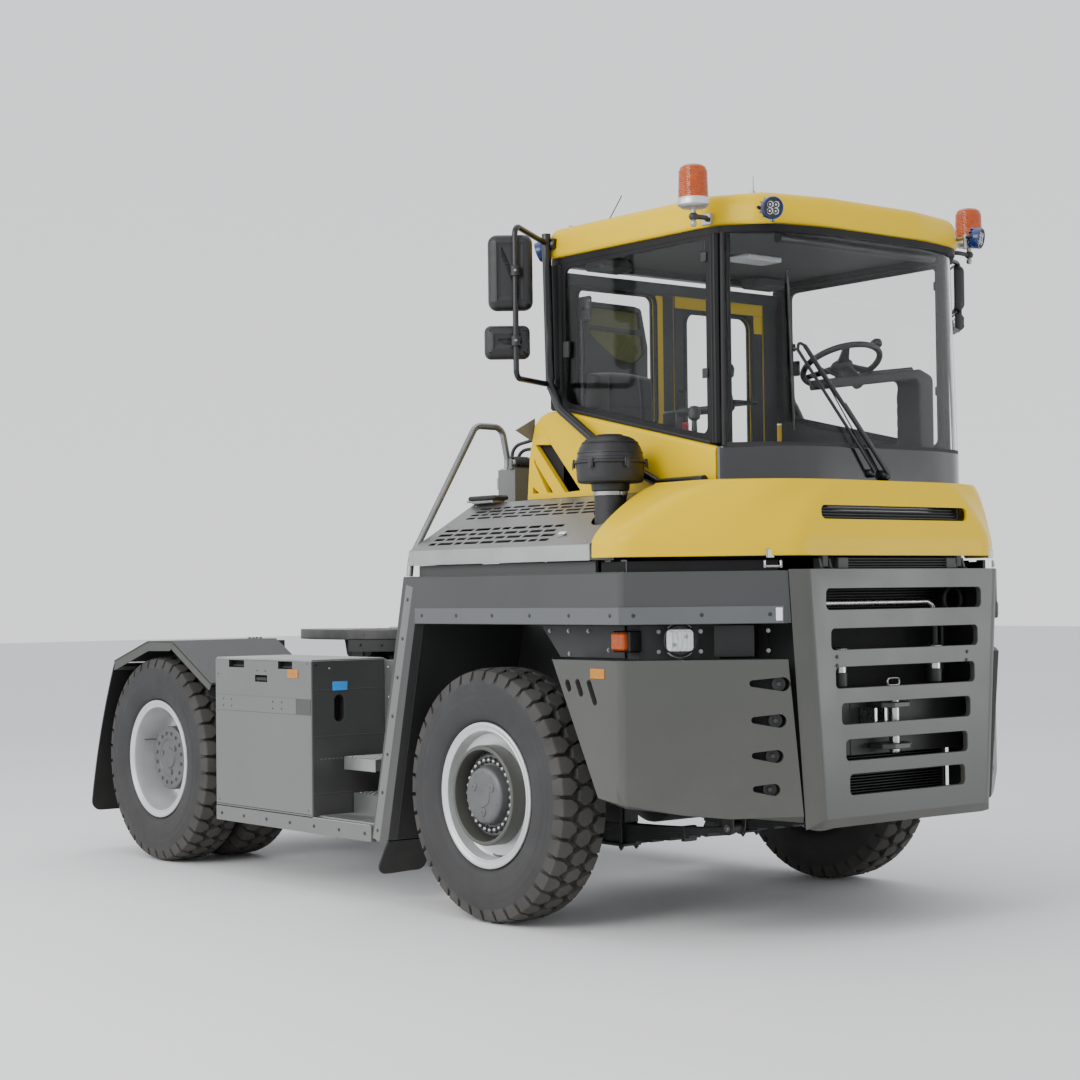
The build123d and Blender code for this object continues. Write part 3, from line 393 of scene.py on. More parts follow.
class Geo:
    """Faces in millimetres, each with its material."""

    def __init__(self):
        self.v, self.f, self.m = [], [], []

    def add(self, verts, faces, mat):
        b = len(self.v)
        self.v.extend(Vector(p) for p in verts)
        for f in faces:
            self.f.append(tuple(b + i for i in f))
            self.m.append(mat)

    def join(self, other, M=None):
        b = len(self.v)
        self.v.extend((M @ p) if M else p.copy() for p in other.v)
        self.f.extend(tuple(b + i for i in f) for f in other.f)
        self.m.extend(other.m)

    def mirrored(self):
        """The same faces with their image on the other side."""
        b = len(self.v)
        self.v.extend(V(-p.x, p.y, p.z) for p in list(self.v))
        self.f.extend(tuple(b + i for i in reversed(f)) for f in list(self.f))
        self.m.extend(list(self.m))
        return self

    def box(self, x0, x1, y0, y1, z0, z1, mat, c=2.0, M=None):
        lo = (min(x0, x1), min(y0, y1), min(z0, z1))
        hi = (max(x0, x1), max(y0, y1), max(z0, z1))
        c = min(c, 0.45 * min(h - l for l, h in zip(lo, hi)))
        verts, idx = [], {}
        for k in range(8):
            s = (k & 1, k >> 1 & 1, k >> 2 & 1)
            for a in range(3):
                p = [0, 0, 0]
                for d in range(3):
                    e = hi[d] if s[d] else lo[d]
                    p[d] = e if d == a else e + (-c if s[d] else c)
                idx[(s, a)] = len(verts)
                verts.append(M @ Vector(p) if M else Vector(p))
        faces = []

        def at(a, sa, b, sb, d, sd, which):
            s = [0, 0, 0]
            s[a], s[b], s[d] = sa, sb, sd
            return idx[(tuple(s), which)]
        for a in range(3):
            b, d = (a + 1) % 3, (a + 2) % 3
            for sa in (0, 1):
                q = [at(a, sa, b, sb, d, sd, a) for sb, sd in ((0, 0), (1, 0), (1, 1), (0, 1))]
                faces.append(q if sa else q[::-1])
            for sa in (0, 1):
                for sb in (0, 1):
                    q = [at(a, sa, b, sb, d, 0, a), at(a, sa, b, sb, d, 0, b), at(a, sa, b, sb, d, 1, b), at(a, sa, b, sb, d, 1, a)]
                    faces.append(q if sa == sb else q[::-1])
        for k in range(8):
            s = (k & 1, k >> 1 & 1, k >> 2 & 1)
            q = [idx[(s, 0)], idx[(s, 1)], idx[(s, 2)]]
            faces.append(q if (sum(s) % 2) else q[::-1])
        self.add(verts, faces, mat)

    def lathe(self, profile, origin, axis, mat, seg=32, ref=None, closed=False):
        """profile rows are (along the axis, radius) or (along, radius, material of the strip that follows)."""
        a, b, n = basis(axis, ref)
        o = Vector(origin)
        rows, verts = [], []
        for p in profile:
            u, r = p[0], p[1]
            if r < 1e-6:
                rows.append([len(verts)])
                verts.append(o + n * u)
            else:
                rows.append(list(range(len(verts), len(verts) + seg)))
                for k in range(seg):
                    t = 2 * pi * k / seg
                    verts.append(o + n * u + a * (r * cos(t)) + b * (r * sin(t)))
        base = len(self.v)
        self.v.extend(verts)
        last = len(rows) if closed else len(rows) - 1
        for i in range(last):
            p, q = rows[i], rows[(i + 1) % len(rows)]
            m = profile[i][2] if len(profile[i]) > 2 else mat
            if len(p) == 1 and len(q) == 1:
                continue
            for k in range(seg):
                k2 = (k + 1) % seg
                if len(p) == 1:
                    f = (p[0], q[k], q[k2])
                elif len(q) == 1:
                    f = (p[k], q[0], p[k2])
                else:
                    f = (p[k], q[k], q[k2], p[k2])
                self.f.append(tuple(base + j for j in f))
                self.m.append(m)

    def loft(self, rings, mat, cap0=True, cap1=True, wrap=True):
        n = len(rings[0])
        verts = [Vector(p) for r in rings for p in r]
        faces = []
        for i in range(len(rings) - 1):
            for k in range(n if wrap else n - 1):
                k2 = (k + 1) % n
                faces.append((i * n + k, i * n + k2, (i + 1) * n + k2, (i + 1) * n + k))
        if cap0:
            faces.append(tuple(range(n))[::-1])
        if cap1:
            faces.append(tuple(range((len(rings) - 1) * n, len(rings) * n)))
        self.add(verts, faces, mat)

    def sweep(self, path, section, mat, up=(0, 0, 1), closed=False, caps=True):
        """section rows are (sideways, upwards) of the path."""
        path = [Vector(p) for p in path]
        n, rings, upv = len(path), [], Vector(up)
        for i in range(n):
            if closed:
                d = (path[(i + 1) % n] - path[i]).normalized() + (path[i] - path[i - 1]).normalized()
            elif i == 0:
                d = path[1] - path[0]
            elif i == n - 1:
                d = path[-1] - path[-2]
            else:
                d = (path[i + 1] - path[i]).normalized() + (path[i] - path[i - 1]).normalized()
            d.normalize()
            u = (upv - d * upv.dot(d))
            u = u.normalized() if u.length > 1e-6 else basis(d)[0]
            s = d.cross(u)
            k = 1.0
            if 0 < i < n - 1 or closed:
                e = (path[(i + 1) % n] - path[i]).normalized()
                k = 1.0 / max(0.35, sqrt(max(0.0, 1 - (s.dot(e)) ** 2)))
            rings.append([path[i] + s * (x * k) + u * y for x, y in section])
        if closed:
            rings.append(rings[0])
            self.loft(rings, mat, False, False)
        else:
            self.loft(rings, mat, caps, caps)

    def tube(self, pts, r, mat, bend=0.0, seg=12, bseg=6, caps=True):
        path = bent(pts, bend, bseg)
        d = (path[1] - path[0]).normalized()
        a = basis(d)[0]
        rings = []
        n = len(path)
        for i in range(n):
            if i == 0:
                t = (path[1] - path[0]).normalized()
            elif i == n - 1:
                t = (path[-1] - path[-2]).normalized()
            else:
                t = ((path[i + 1] - path[i]).normalized() + (path[i] - path[i - 1]).normalized()).normalized()
            a = (a - t * a.dot(t)).normalized()
            b = t.cross(a)
            ring = [path[i] + a * (r * cos(2 * pi * k / seg)) + b * (r * sin(2 * pi * k / seg)) for k in range(seg)]
            if caps and i == 0:
                rings.append([p + (path[0] - p) * 0.25 - t * 0.0 for p in ring])
            rings.append(ring)
            if caps and i == n - 1:
                rings.append([p + (path[-1] - p) * 0.25 for p in ring])
        self.loft(rings, mat, caps, caps)

    def prism(self, outline, to3d, depth, mat, c=0.0):
        """An extruded outline; c breaks both edges."""
        pts = [Vector(p) for p in outline]
        d = Vector(depth)
        if c <= 0:
            self.loft([[to3d(p) for p in pts], [to3d(p) + d for p in pts]], mat)
            return
        ins = inset2d(pts, c)
        u = d.normalized() * c
        self.loft([[to3d(p) for p in ins], [to3d(p) + u for p in pts], [to3d(p) + d - u for p in pts], [to3d(p) + d for p in ins]], mat)

    def plate(self, outline, holes, to3d, depth, mat, wall=None):
        """A flat sheet with real holes."""
        from mathutils.geometry import delaunay_2d_cdt
        loops = [[Vector((p[0], p[1])) for p in l] for l in [outline] + list(holes)]
        co, edges = [], []
        for l in loops:
            b = len(co)
            co.extend(l)
            edges.extend((b + i, b + (i + 1) % len(l)) for i in range(len(l)))
        res = delaunay_2d_cdt(co, edges, [], 1, 1e-4)
        rv, rf = res[0], res[2]
        tris = []
        for f in rf:
            c = sum((rv[i] for i in f), Vector((0, 0))) / len(f)
            if inside2d(c, loops[0]) and not any(inside2d(c, h) for h in loops[1:]):
                tris.append(f)
        d = Vector(depth)
        n = len(rv)
        self.add([to3d(p) for p in rv] + [to3d(p) + d for p in rv],
                 [tuple(f) for f in tris] + [tuple(n + i for i in reversed(f)) for f in tris], mat)
        for l in loops:
            m = len(l)
            self.add([to3d(p) for p in l] + [to3d(p) + d for p in l],
                     [(i, (i + 1) % m, m + (i + 1) % m, m + i) for i in range(m)], wall or mat)

    def bolt(self, p, n, r=9.0, h=7.0, mat=None, washer=True, turn=0.0):
        mat = mat or ZINC
        a, b, n = basis(n)
        p = Vector(p)
        z = 0.0
        if washer:
            w = r * 1.45
            self.loft([[p + a * (w * cos(t)) + b * (w * sin(t)) + n * k for t in [2 * pi * i / 12 for i in range(12)]] for k in (-0.5, 1.8)],
                      mat, False, True)
            z = 1.8
        ring = lambda q, k: [p + a * (q * cos(turn + pi * i / 3)) + b * (q * sin(turn + pi * i / 3)) + n * k for i in range(6)]
        self.loft([ring(r, z - 0.5), ring(r, z + h * 0.8), ring(r * 0.84, z + h)], mat, False, True)

    def dome(self, p, n, r, h, mat, seg=12):
        """A round button head."""
        self.lathe([(-0.5, r), (h * 0.35, r), (h * 0.8, r * 0.72), (h, r * 0.3), (h, 0)], p, n, mat, seg)

    def nut(self, p, n, r=16.0, h=18.0, mat=None):
        mat = mat or ZINC
        a, b, n = basis(n)
        p = Vector(p)
        ring = lambda q, k: [p + a * (q * cos(pi * i / 3)) + b * (q * sin(pi * i / 3)) + n * k for i in range(6)]
        self.loft([ring(r, -0.5), ring(r, h * 0.82), ring(r * 0.8, h)], mat, False, True)
        self.lathe([(h - 1, r * 0.5), (h + 6, r * 0.5), (h + 8, r * 0.36), (h + 8, 0)], p, n, mat, 8)


def inset2d(pts, c):
    n = len(pts)
    area = sum(pts[i - 1].x * pts[i].y - pts[i].x * pts[i - 1].y for i in range(n))
    s = 1.0 if area > 0 else -1.0
    out = []
    for i in range(n):
        a = (pts[i] - pts[i - 1])
        b = (pts[(i + 1) % n] - pts[i])
        a = a.normalized() if a.length > 1e-9 else b.normalized()
        b = b.normalized() if b.length > 1e-9 else a
        na, nb = Vector((-a.y, a.x)) * s, Vector((-b.y, b.x)) * s
        m = na + nb
        m = m.normalized() if m.length > 1e-6 else na
        out.append(pts[i] + m * (c / max(0.45, m.dot(nb))))
    return out


def apply_mods(obj):
    dg = bpy.context.evaluated_depsgraph_get()
    me = bpy.data.meshes.new_from_object(obj.evaluated_get(dg))
    old = obj.data
    obj.modifiers.clear()
    obj.data = me
    bpy.data.meshes.remove(old)


def shade(obj, angle=34.0, weighted=True):
    obj.data.shade_smooth()
    obj.data.set_sharp_from_angle(angle=radians(angle))
    if weighted:
        w = obj.modifiers.new("flat", "WEIGHTED_NORMAL")
        w.keep_sharp = True
        w.mode = "FACE_AREA"
        apply_mods(obj)


def settle(obj, name, body, replaces):
    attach(obj, body)
    if replaces:
        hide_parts(*replaces)
    return obj


def bevel_now(obj, width, seg=2, angle=28.0, clamp=True):
    b = obj.modifiers.new("bevel", "BEVEL")
    b.width = width * MM
    b.segments = seg
    b.limit_method = "ANGLE"
    b.angle_limit = radians(angle)
    b.use_clamp_overlap = clamp
    b.miter_outer = "MITER_ARC"
    apply_mods(obj)


def mesh_object(name, geo):
    me = bpy.data.meshes.new(name)
    me.from_pydata([v * MM for v in geo.v], [], geo.f)
    names = []
    for m in geo.m:
        if m.name not in names:
            names.append(m.name)
            me.materials.append(m)
    me.polygons.foreach_set("material_index", [names.index(m.name) for m in geo.m])
    me.update()
    bm = bmesh.new()
    bm.from_mesh(me)
    bmesh.ops.recalc_face_normals(bm, faces=bm.faces)
    bm.to_mesh(me)
    bm.free()
    obj = bpy.data.objects.new(name, me)
    bpy.context.scene.collection.objects.link(obj)
    return obj


def make(name, geo, body="chassis", replaces=(), bevel=0.0, seg=2, angle=28.0, smooth=34.0):
    obj = mesh_object(name, geo)
    if bevel:
        bevel_now(obj, bevel, seg, angle)
    shade(obj, smooth)
    return settle(obj, name, body, replaces)


def cad_copy(name, node, rounds=(), move=None, split=False):
    me = NODES[node].data.copy()
    me.name = name
    me.materials.clear()
    obj = bpy.data.objects.new(name, me)
    bpy.context.scene.collection.objects.link(obj)
    bm = bmesh.new()
    bm.from_mesh(me)
    bmesh.ops.remove_doubles(bm, verts=bm.verts, dist=2e-5)
    if split:
        # a seam down the middle keeps faces with holes in two plain halves
        cut = bmesh.ops.bisect_plane(bm, geom=bm.verts[:] + bm.edges[:] + bm.faces[:], dist=1e-6, plane_co=(0, 0, 0), plane_no=(1, 0, 0))
        for e in cut["geom_cut"]:
            if isinstance(e, bmesh.types.BMEdge):
                e.seam = True
    bmesh.ops.dissolve_limit(bm, angle_limit=radians(1.2), verts=bm.verts, edges=bm.edges, delimit={"SEAM"})
    bmesh.ops.recalc_face_normals(bm, faces=bm.faces)
    if move:
        for v in bm.verts:
            v.co = Vector(move(v.co * 1000.0)) * MM
    for test, radius, seg in rounds:
        edges = []
        for e in bm.edges:
            a, b = e.verts[0].co * 1000.0, e.verts[1].co * 1000.0
            if len(e.link_faces) == 2 and e.calc_face_angle(0.0) > radians(12) and test((a + b) / 2, (b - a).normalized()):
                edges.append(e)
        if edges:
            bmesh.ops.bevel(bm, geom=edges, offset=radius * MM, segments=seg, profile=0.5, affect="EDGES", clamp_overlap=True)
    bm.to_mesh(me)
    bm.free()
    return obj


def softened(node, body, width, mat, name=None, seg=2, angle=28.0, paint=None, mats=(), smooth=34.0, clamp=False,
             rounds=(), move=None, split=False):
    """The CAD plate with its edges rounded; paint(centre mm, normal) picks from mats for a face."""
    name = name or node + "_skin"
    obj = cad_copy(name, node, rounds, move, split)
    for m in (mat, *mats):
        obj.data.materials.append(m)
    obj.data.polygons.foreach_set("material_index", [0] * len(obj.data.polygons))
    if paint:
        for p in obj.data.polygons:
            p.material_index = paint(p.center * 1000.0, p.normal)
    if width:
        bevel_now(obj, width, seg, angle, clamp)
    shade(obj, smooth)
    return settle(obj, name, body, (node,))


# ------------------------------------------------------------------ tyres and wheels
AXLE_F, AXLE_R = (-1230.0, 600.0), (1970.0, 600.0)
PITCHES = 38
CENTRE = ((38, -26), (44, 20), (8, 46), (-38, 26), (-44, -20), (-8, -46))


def tread_r(u):
    """Outer envelope of the tread."""
    u = abs(u)
    if u <= 96:
        return 600.0 - 2.5 * (u / 96.0) ** 2
    if u <= 124:
        return 597.5 - (u - 96) / 28 * 10.5
    return 587.0 - (u - 124) / 18 * 52


def tread_base(u):
    u = abs(u)
    if u <= 112:
        return 570.0 - 4 * (u / 112.0) ** 2
    return 566.0 - (u - 112) / 27 * 26


def tyre(geo, xc, s, y, z, phase=0.0):
    side = [(112, 306), (112, 347), (116, 351), (128, 360), (135, 370), (139, 384), (141, 386), (142.5, 400), (144.5, 402), (147, 425),
            (148.2, 427), (149.4, 448), (150, 450), (149.6, 462), (148.4, 464), (147.5, 484), (148.3, 486), (147.2, 498), (145.8, 500),
            (144.5, 514), (145.0, 517), (142.5, 530), (139.0, 540), (128, 553), (112, 566)]
    prof = [(u, r, TYRE) for u, r in side] + [(0, 570, TREAD)] + [(-u, r, TYRE) for u, r in reversed(side)]
    prof[len(side) - 1] = (112, 566, TREAD)
    geo.lathe(prof, (s * xc, y, z), (s, 0, 0), TYRE, 114, closed=True)

    def at(u, w, r, a0):
        a = a0 + w / 600.0
        return V(s * (xc + u), y + r * cos(a), z + r * sin(a))

    def lug(poly, a0):
        pts = [Vector(p) for p in poly]
        wide, thin, thin2 = inset2d(pts, -4.0), inset2d(pts, 1.6), inset2d(pts, 5.0)
        rings = [[at(max(-139, min(139, p.x)), p.y, tread_base(max(-139, min(139, p.x))) - 3, a0) for p in wide],
                 [at(p.x, p.y, (tread_base(q.x) + 3 * tread_r(q.x)) / 4 - 2, a0) for p, q in zip(pts, pts)],
                 [at(p.x, p.y, tread_r(p.x) - 1.6, a0) for p in thin],
                 [at(p.x, p.y, tread_r(p.x), a0) for p in thin2]]
        geo.loft(rings, TREAD, False, True)

    for k in range(PITCHES):
        a = phase + 2 * pi * k / PITCHES
        # shoulder lugs drawn with an outer edge that lies down the shoulder
        for flip in (1, -1):
            outer = [(126, -41), (126, 41), (86, 44), (48, 12), (56, -16), (86, -38)]
            lug([(flip * u, flip * w) for u, w in outer], a)
            # the lug's flank down to the sidewall, with a worn edge
            rows = ((126, 585.0, 40.5), (129.5, 576, 41), (138.5, 548, 38), (142, 532, 34))
            back = ((104, 580, 40), (110, 566, 40), (116, 545, 37), (122, 528, 34))
            n = len(rows)
            pts = [at(flip * u, q * flip * w, r, a) for q in (-1, 1) for u, r, w in rows + tuple(reversed(back))]
            m = 2 * n
            geo.add(pts, [(i, i + 1, m + i + 1, m + i) for i in range(m - 1)] + [(m - 1, 0, m, 2 * m - 1), tuple(range(m))[::-1], tuple(range(m, 2 * m))], TREAD)
        lug(CENTRE, a + pi / PITCHES)


def rim_profile(dish):
    """Rim from its inner flange over the bead seats to the outer flange, then the dish back to its disc."""
    out = [(-126, 300), (-128, 336), (-125, 343), (-119, 345), (-115, 340), (-113, 328), (-112.2, 305.6), (112.2, 305.6), (113, 328),
           (115, 340), (119, 345), (125, 343), (128, 336), (127, 329), (121, 322), (119, 314), (121, 309), (118, 303), (108, 299)]
    return out + dish


def front_wheel(s, side):
    y, z = AXLE_F
    xc = 1112.0
    o, ax = (s * xc, y, z), (s, 0, 0)
    g = Geo()
    g.lathe(rim_profile([(80, 295), (68, 290), (62, 280), (60, 262), (60, 232), (58, 205), (36, 205), (36, 280), (20, 290), (-100, 292)]),
            o, ax, RIM, 72, closed=True)
    # guard ring, bolting face and hub cover
    g.lathe([(56, 213), (134, 213), (140, 216), (142, 222), (142, 228), (139, 233), (132, 236), (56, 236)], o, ax, OLIVE, 72, closed=True)
    g.lathe([(-92, 62), (-92, 150), (-60, 200), (64, 206), (72, 202), (82, 190), (84, 186), (84, 143), (90, 141), (120, 136), (131, 130),
             (137, 120), (139, 104), (137.5, 98), (137.5, 56), (141, 53), (142, 44), (139, 30), (138, 0)], o, ax, HUBGREY, 60)
    # shadow-black ring in the gap between the guard ring and the hub: painted shade
    g.lathe([(60, 212), (61, 203), (70, 201)], o, ax, SHADE_BLACK, 60)
    for k in range(28):
        t = 2 * pi * k / 28
        c = (s * (xc + 84), y + 165 * cos(t), z + 165 * sin(t))
        g.lathe([(-1, 16), (3, 16), (4, 14)], c, ax, CAST, 10)
        g.lathe([(2, 12.5), (14, 12.5), (19, 10), (22, 5), (22.5, 0)], c, ax, ZINC, 10)
    for k in range(3):
        t = 2 * pi * k / 3 + 0.5
        g.lathe([(-1, 21), (4, 21), (6, 18), (6, 8), (4, 7), (4, 0)], (s * (xc + 136), y + 78 * cos(t), z + 78 * sin(t)), ax, HUBGREY, 18)
    for k in range(10):
        t = 2 * pi * (k + 0.5) / 10
        g.bolt((s * (xc + 136), y + 111 * cos(t), z + 111 * sin(t)), ax, 6.5, 3.5, HUBGREY, False)
    # valve low on the rim
    g.tube([(s * (xc + 70), y - 60, z - 284), (s * (xc + 104), y - 58, z - 278), (s * (xc + 122), y - 56, z - 268)], 5, ZINC, 10, 8)
    make("front_wheel_detail_" + side, g, "front_wheel_" + side, ("front_wheel_" + side,))
    t = Geo()
    tyre(t, xc, s, y, z, 0.03 if s < 0 else 0.05)
    make("front_tyre_tread_" + side, t, "front_wheel_" + side, ("front_tyre_" + side,), smooth=40)


def rear_wheel(s, side):
    y, z = AXLE_R
    ax = (s, 0, 0)
    g = Geo()
    for xc, d in ((1095.0, 1), (735.0, -1)):
        o = (s * xc, y, z)
        g.lathe([(d * u, r) for u, r in rim_profile([(60, 296), (-40, 290), (-70, 282), (-90, 262), (-96, 240), (-96, 160), (-116, 160),
                                                      (-116, 282), (-120, 292)])], o, ax, RIM, 72, closed=True)
        if d > 0:
            for k in range(10):
                t = 2 * pi * (k + 0.5) / 10
                c = (s * (xc - 96), y + 200 * cos(t), z + 200 * sin(t))
                g.lathe([(-1, 22), (4, 22), (5, 18)], c, ax, CAST, 12)
                g.nut(c, ax, 17, 24, ZINC)
            g.tube([(s * (xc - 60), y + 250, z + 90), (s * (xc + 20), y + 262, z + 96), (s * (xc + 70), y + 262, z + 96)], 5, ZINC, 12, 8)
    o = (s * 1095.0, y, z)
    g.lathe([(-490, 72), (-490, 158), (-486, 161), (-50, 161), (-46, 172), (-40, 184), (-30, 187), (34, 187), (44, 184), (49, 177), (50, 168),
             (50, 112), (46, 108), (46, 62), (52, 58), (52, 40), (49, 34), (49, 0)], o, ax, HUBGREY, 60)
    for k in range(16):
        t = 2 * pi * (k + 0.5) / 16
        g.bolt((s * (1095 + 50), y + 146 * cos(t), z + 146 * sin(t)), ax, 9, 7, HUBGREY)
    for k in range(3):
        t = 2 * pi * k / 3 + 0.3
        g.bolt((s * (1095 + 46), y + 84 * cos(t), z + 84 * sin(t)), ax, 14, 6, HUBGREY)
    make("rear_wheels_detail_" + side, g, "rear_wheels_" + side, ("rear_wheels_" + side,))
    t = Geo()
    tyre(t, 1095.0, s, y, z, 0.01)
    tyre(t, 735.0, s, y, z, 0.06)
    make("rear_tyres_tread_" + side, t, "rear_wheels_" + side, ("rear_tyres_" + side,), smooth=40)


for sd, sn in SIDES:
    front_wheel(sd, sn)
    rear_wheel(sd, sn)


# ------------------------------------------------------------------ CAD plates with rounded edges
softened("frame_rails", "chassis", 4, CHASSIS)
softened("frame_crossmembers", "chassis", 5, CHASSIS)
softened("engine_block", "chassis", 14, CAST, seg=3)
softened("propshaft", "chassis", 2, CHASSIS)
softened("front_axle", "chassis", 7, CHASSIS, seg=2, angle=32)
softened("rear_axle", "chassis", 7, CHASSIS, seg=2, angle=32)
softened("knuckle_right", "steer_right", 6, CAST)
softened("knuckle_left", "steer_left", 6, CAST)
softened("tie_rod", "tie_rod", 4, CAST)
softened("rear_door_glass", "rear_door", 1, GLASS, seg=1)
softened("cab_windows", "chassis", 1, GLASS, seg=1, move=lambda v: (v.x, v.y, v.z + 31 if v.z > 3100 else v.z))
softened("deck_handrails", "chassis", 0, RAILTUBE, smooth=45)
# lift arm in the shaded olive copy: painted shade
softened("lift_arm", "lift_arm", 6, OLIVE_SHADED)
softened("lift_barrels", "lift_barrels", 4, CHASSIS)
softened("lift_rods", "lift_rods", 3, CHROME)
softened("cab_guard_rails", "chassis", 0, BLACK, smooth=45)
softened("radiator", "chassis", 5, FINS)


# ------------------------------------------------------------------ nose
def nose_fold(v):
    """Face set back for the bolt heads, its lower edge folded under."""
    if v.y > -2764:
        return tuple(v)
    if v.z < 510:
        return (v.x * 551 / 548, v.y + 6, 548)
    return (v.x, v.y + 6, v.z)


def bumper_fold(v):
    """Lower edge folded under, more towards the nose."""
    s = 1 if v.x > 0 else -1
    if abs(v.x) > 1255 and -2252 < v.y < -2225 and v.z < 640:
        return (v.x, v.y, v.z + 24)
    if abs(v.x) < 640 and v.y < -2705 and v.z < 560:
        return (v.x + s * 4.2, v.y, v.z + 36)
    return tuple(v)


# nose face in the lighter sheen copy, folds in plain olive: painted sheen
softened("front_grille", "chassis", 2.5, OLIVE, paint=lambda c, n: 1 if n.y < -0.95 and c.y < -2758 else 0, mats=(FACE_SHEEN,),
         move=nose_fold, split=True,
         rounds=((lambda m, d: abs(d.z) > 0.9 and m.y < -2758 and abs(m.x) > 540, 24, 5),
                 (lambda m, d: abs(d.x) > 0.9 and m.y < -2758 and (m.z < 552 or m.z > 1636) and abs(m.x) < 560, 14, 4)))
softened("bumper_side_panels", "chassis", 2.5, OLIVE,
         paint=lambda c, n: 1 if c.z > 1251 or (c.z > 1230 and abs(n.z) > 0.9 and abs(c.x) < 1200) else 0, mats=(CHASSIS,), move=bumper_fold,
         rounds=((lambda m, d: abs(d.z) > 0.9 and abs(abs(m.x) - 1264) < 4 and abs(m.y + 2240) < 12, 34, 5),
                 (lambda m, d: abs(d.z) < 0.2 and m.z > 1248 and m.z < 1252 and (abs(m.x) > 1250 or (m.y < -2240 and abs(m.x) + abs(m.y) > 3390)), 20, 4)))
for v in bpy.data.objects["bumper_side_panels_skin"].data.vertices:
    v.co.x = max(-1.2655, min(1.2655, v.co.x))
# fender band in the shaded olive copy: painted shade
softened("front_fenders", "chassis", 3, OLIVE_SHADED,
         paint=lambda c, n: 1 if abs(c.x) < 1195 and c.z < 1606 and c.y > -2200 else 0, mats=(CHASSIS,),
         move=lambda v: (v.x - (6 if v.x > 0 else -6) if abs(v.x) > 1255 else v.x, v.y, v.z),
         rounds=((lambda m, d: abs(d.z) > 0.9 and abs(abs(m.x) - 1264) < 4 and abs(m.y + 2240) < 12, 26, 5),
                 (lambda m, d: abs(d.z) < 0.2 and abs(m.z - 1635) < 2 and abs(m.x) > 1256, 10, 3)))


g = Geo()
# cooler stack and slats behind the grille slots, in front of shadow-black backing sheets that are painted shade
g.box(-560, 560, -2500, -2486, 560, 1070, SHADE_BLACK, 3)
g.box(-596, 596, -2496, -2482, 1052, 1612, SHADE_BLACK, 3)
for k in range(19):
    z = 588 + 13.0 * k
    g.box(-470, 470, -2560, -2512, z, z + 4.5, FINS, 1)
g.box(-486, -466, -2566, -2506, 570, 846, CHASSIS, 3)
g.box(466, 486, -2566, -2506, 570, 846, CHASSIS, 3)
for k in range(13):
    z = 1440 + 13.0 * k
    g.box(-520, 520, -2546, -2512, z, z + 4.5, FINS, 1)
for s in (-1, 1):
    # shadow-black uprights that close the space behind the grille, and the top sheet after them: painted shade
    g.box(s * 596, s * 604, -2690, -2486, 540, 1600, SHADE_BLACK, 2)
g.box(-600, 600, -2690, -2486, 1604, 1612, SHADE_BLACK, 2)
make("nose_cooler", g, "chassis")

g = Geo()
# silver pipe in the top slot and the hose beside it
g.tube([(-420, -2606, 1488), (318, -2606, 1488), (366, -2606, 1470), (372, -2606, 1380)], 13, STEEL, 40, 12)
g.tube([(372, -2606, 1400), (372, -2606, 1180)], 17, HOSE, 0, 12)
ring = [(492 + 62 * cos(t), -2616, 1496 + 62 * sin(t)) for t in [radians(a) for a in range(-70, 255, 18)]]
g.tube(ring, 12, HOSE, 0, 10)
g.tube([(430, -2600, 1445), (430, -2600, 1200), (400, -2600, 1120)], 12, HOSE, 40, 10)
# buffers with round caps
for x in (-346, 290):
    g.lathe([(0, 30), (70, 30), (74, 46), (96, 46), (106, 40), (113, 24), (115, 0)], (x, -2672, 1180), (0, 0, 1), STEEL, 24)
    g.lathe([(-60, 34), (0, 34)], (x, -2672, 1180), (0, 0, 1), CHASSIS, 20)
# tow jaw plates
for x in (-150, -84):
    g.box(x, x + 16, -2700, -2610, 905, 1016, STEEL, 2)
g.box(-210, 210, -2604, -2594, 800, 1080, CHASSIS, 4)
make("nose_pipework", g, "chassis")

g = Geo()
# tow pin with its handle ring and safety clip
g.lathe([(0, 0), (0, 19), (6, 24.2), (270, 24.2), (276, 30), (292, 30), (298, 24), (300, 0)], (0, -2680, 808), (0, 0, 1), STEEL, 28)
g.tube([(0, -2680, 1100), (0, -2680, 1112)], 8, STEEL, 0, 10)
pts = fillet2d([(-40, -16), (40, -16), (40, 16), (-40, 16)], 15, 5)
g.sweep([(p.x - 14, -2690, 1128 + p.y) for p in pts], [(5 * cos(t), 5 * sin(t)) for t in [2 * pi * k / 8 for k in range(8)]], STEEL, (0, 1, 0), True)
g.tube([(0, -2704, 846), (36, -2716, 840), (66, -2716, 846)], 5, ZINC, 10, 8)
# clamp plates in the shaded olive copy: painted shade
for z0, z1 in ((826, 852), (1012, 1038)):
    g.prism(fillet2d([(-95, -2600), (95, -2600), (95, -2690), (52, -2730), (-52, -2730), (-95, -2690)], 18, 4), lambda p, z=z0: V(p[0], p[1], z),
            (0, 0, z1 - z0), OLIVE_SHADED, 4)
make("tow_pin", g, "chassis", ("tow_coupling",))

g = Geo()
# grille bolts, two above each other at both ends
for x, z in ((-459, 1254), (-460, 1216), (414, 1254), (408, 1216)):
    g.dome((x, -2764, z), (0, -1, 0), 9, 5, CHASSIS)
# fin strip under the bonnet edge, with a shadow-black sheet behind it as painted shade
for k in range(4):
    z = 1646 + 12 * k
    g.box(-330, 330, -2716, -2700, z, z + 5, FINS, 1)
g.box(-396, -330, -2722, -2694, 1641, 1690, CHASSIS, 3)
g.box(330, 396, -2722, -2694, 1641, 1690, CHASSIS, 3)
g.box(-410, 410, -2694, -2690, 1640, 1692, SHADE_BLACK, 1)
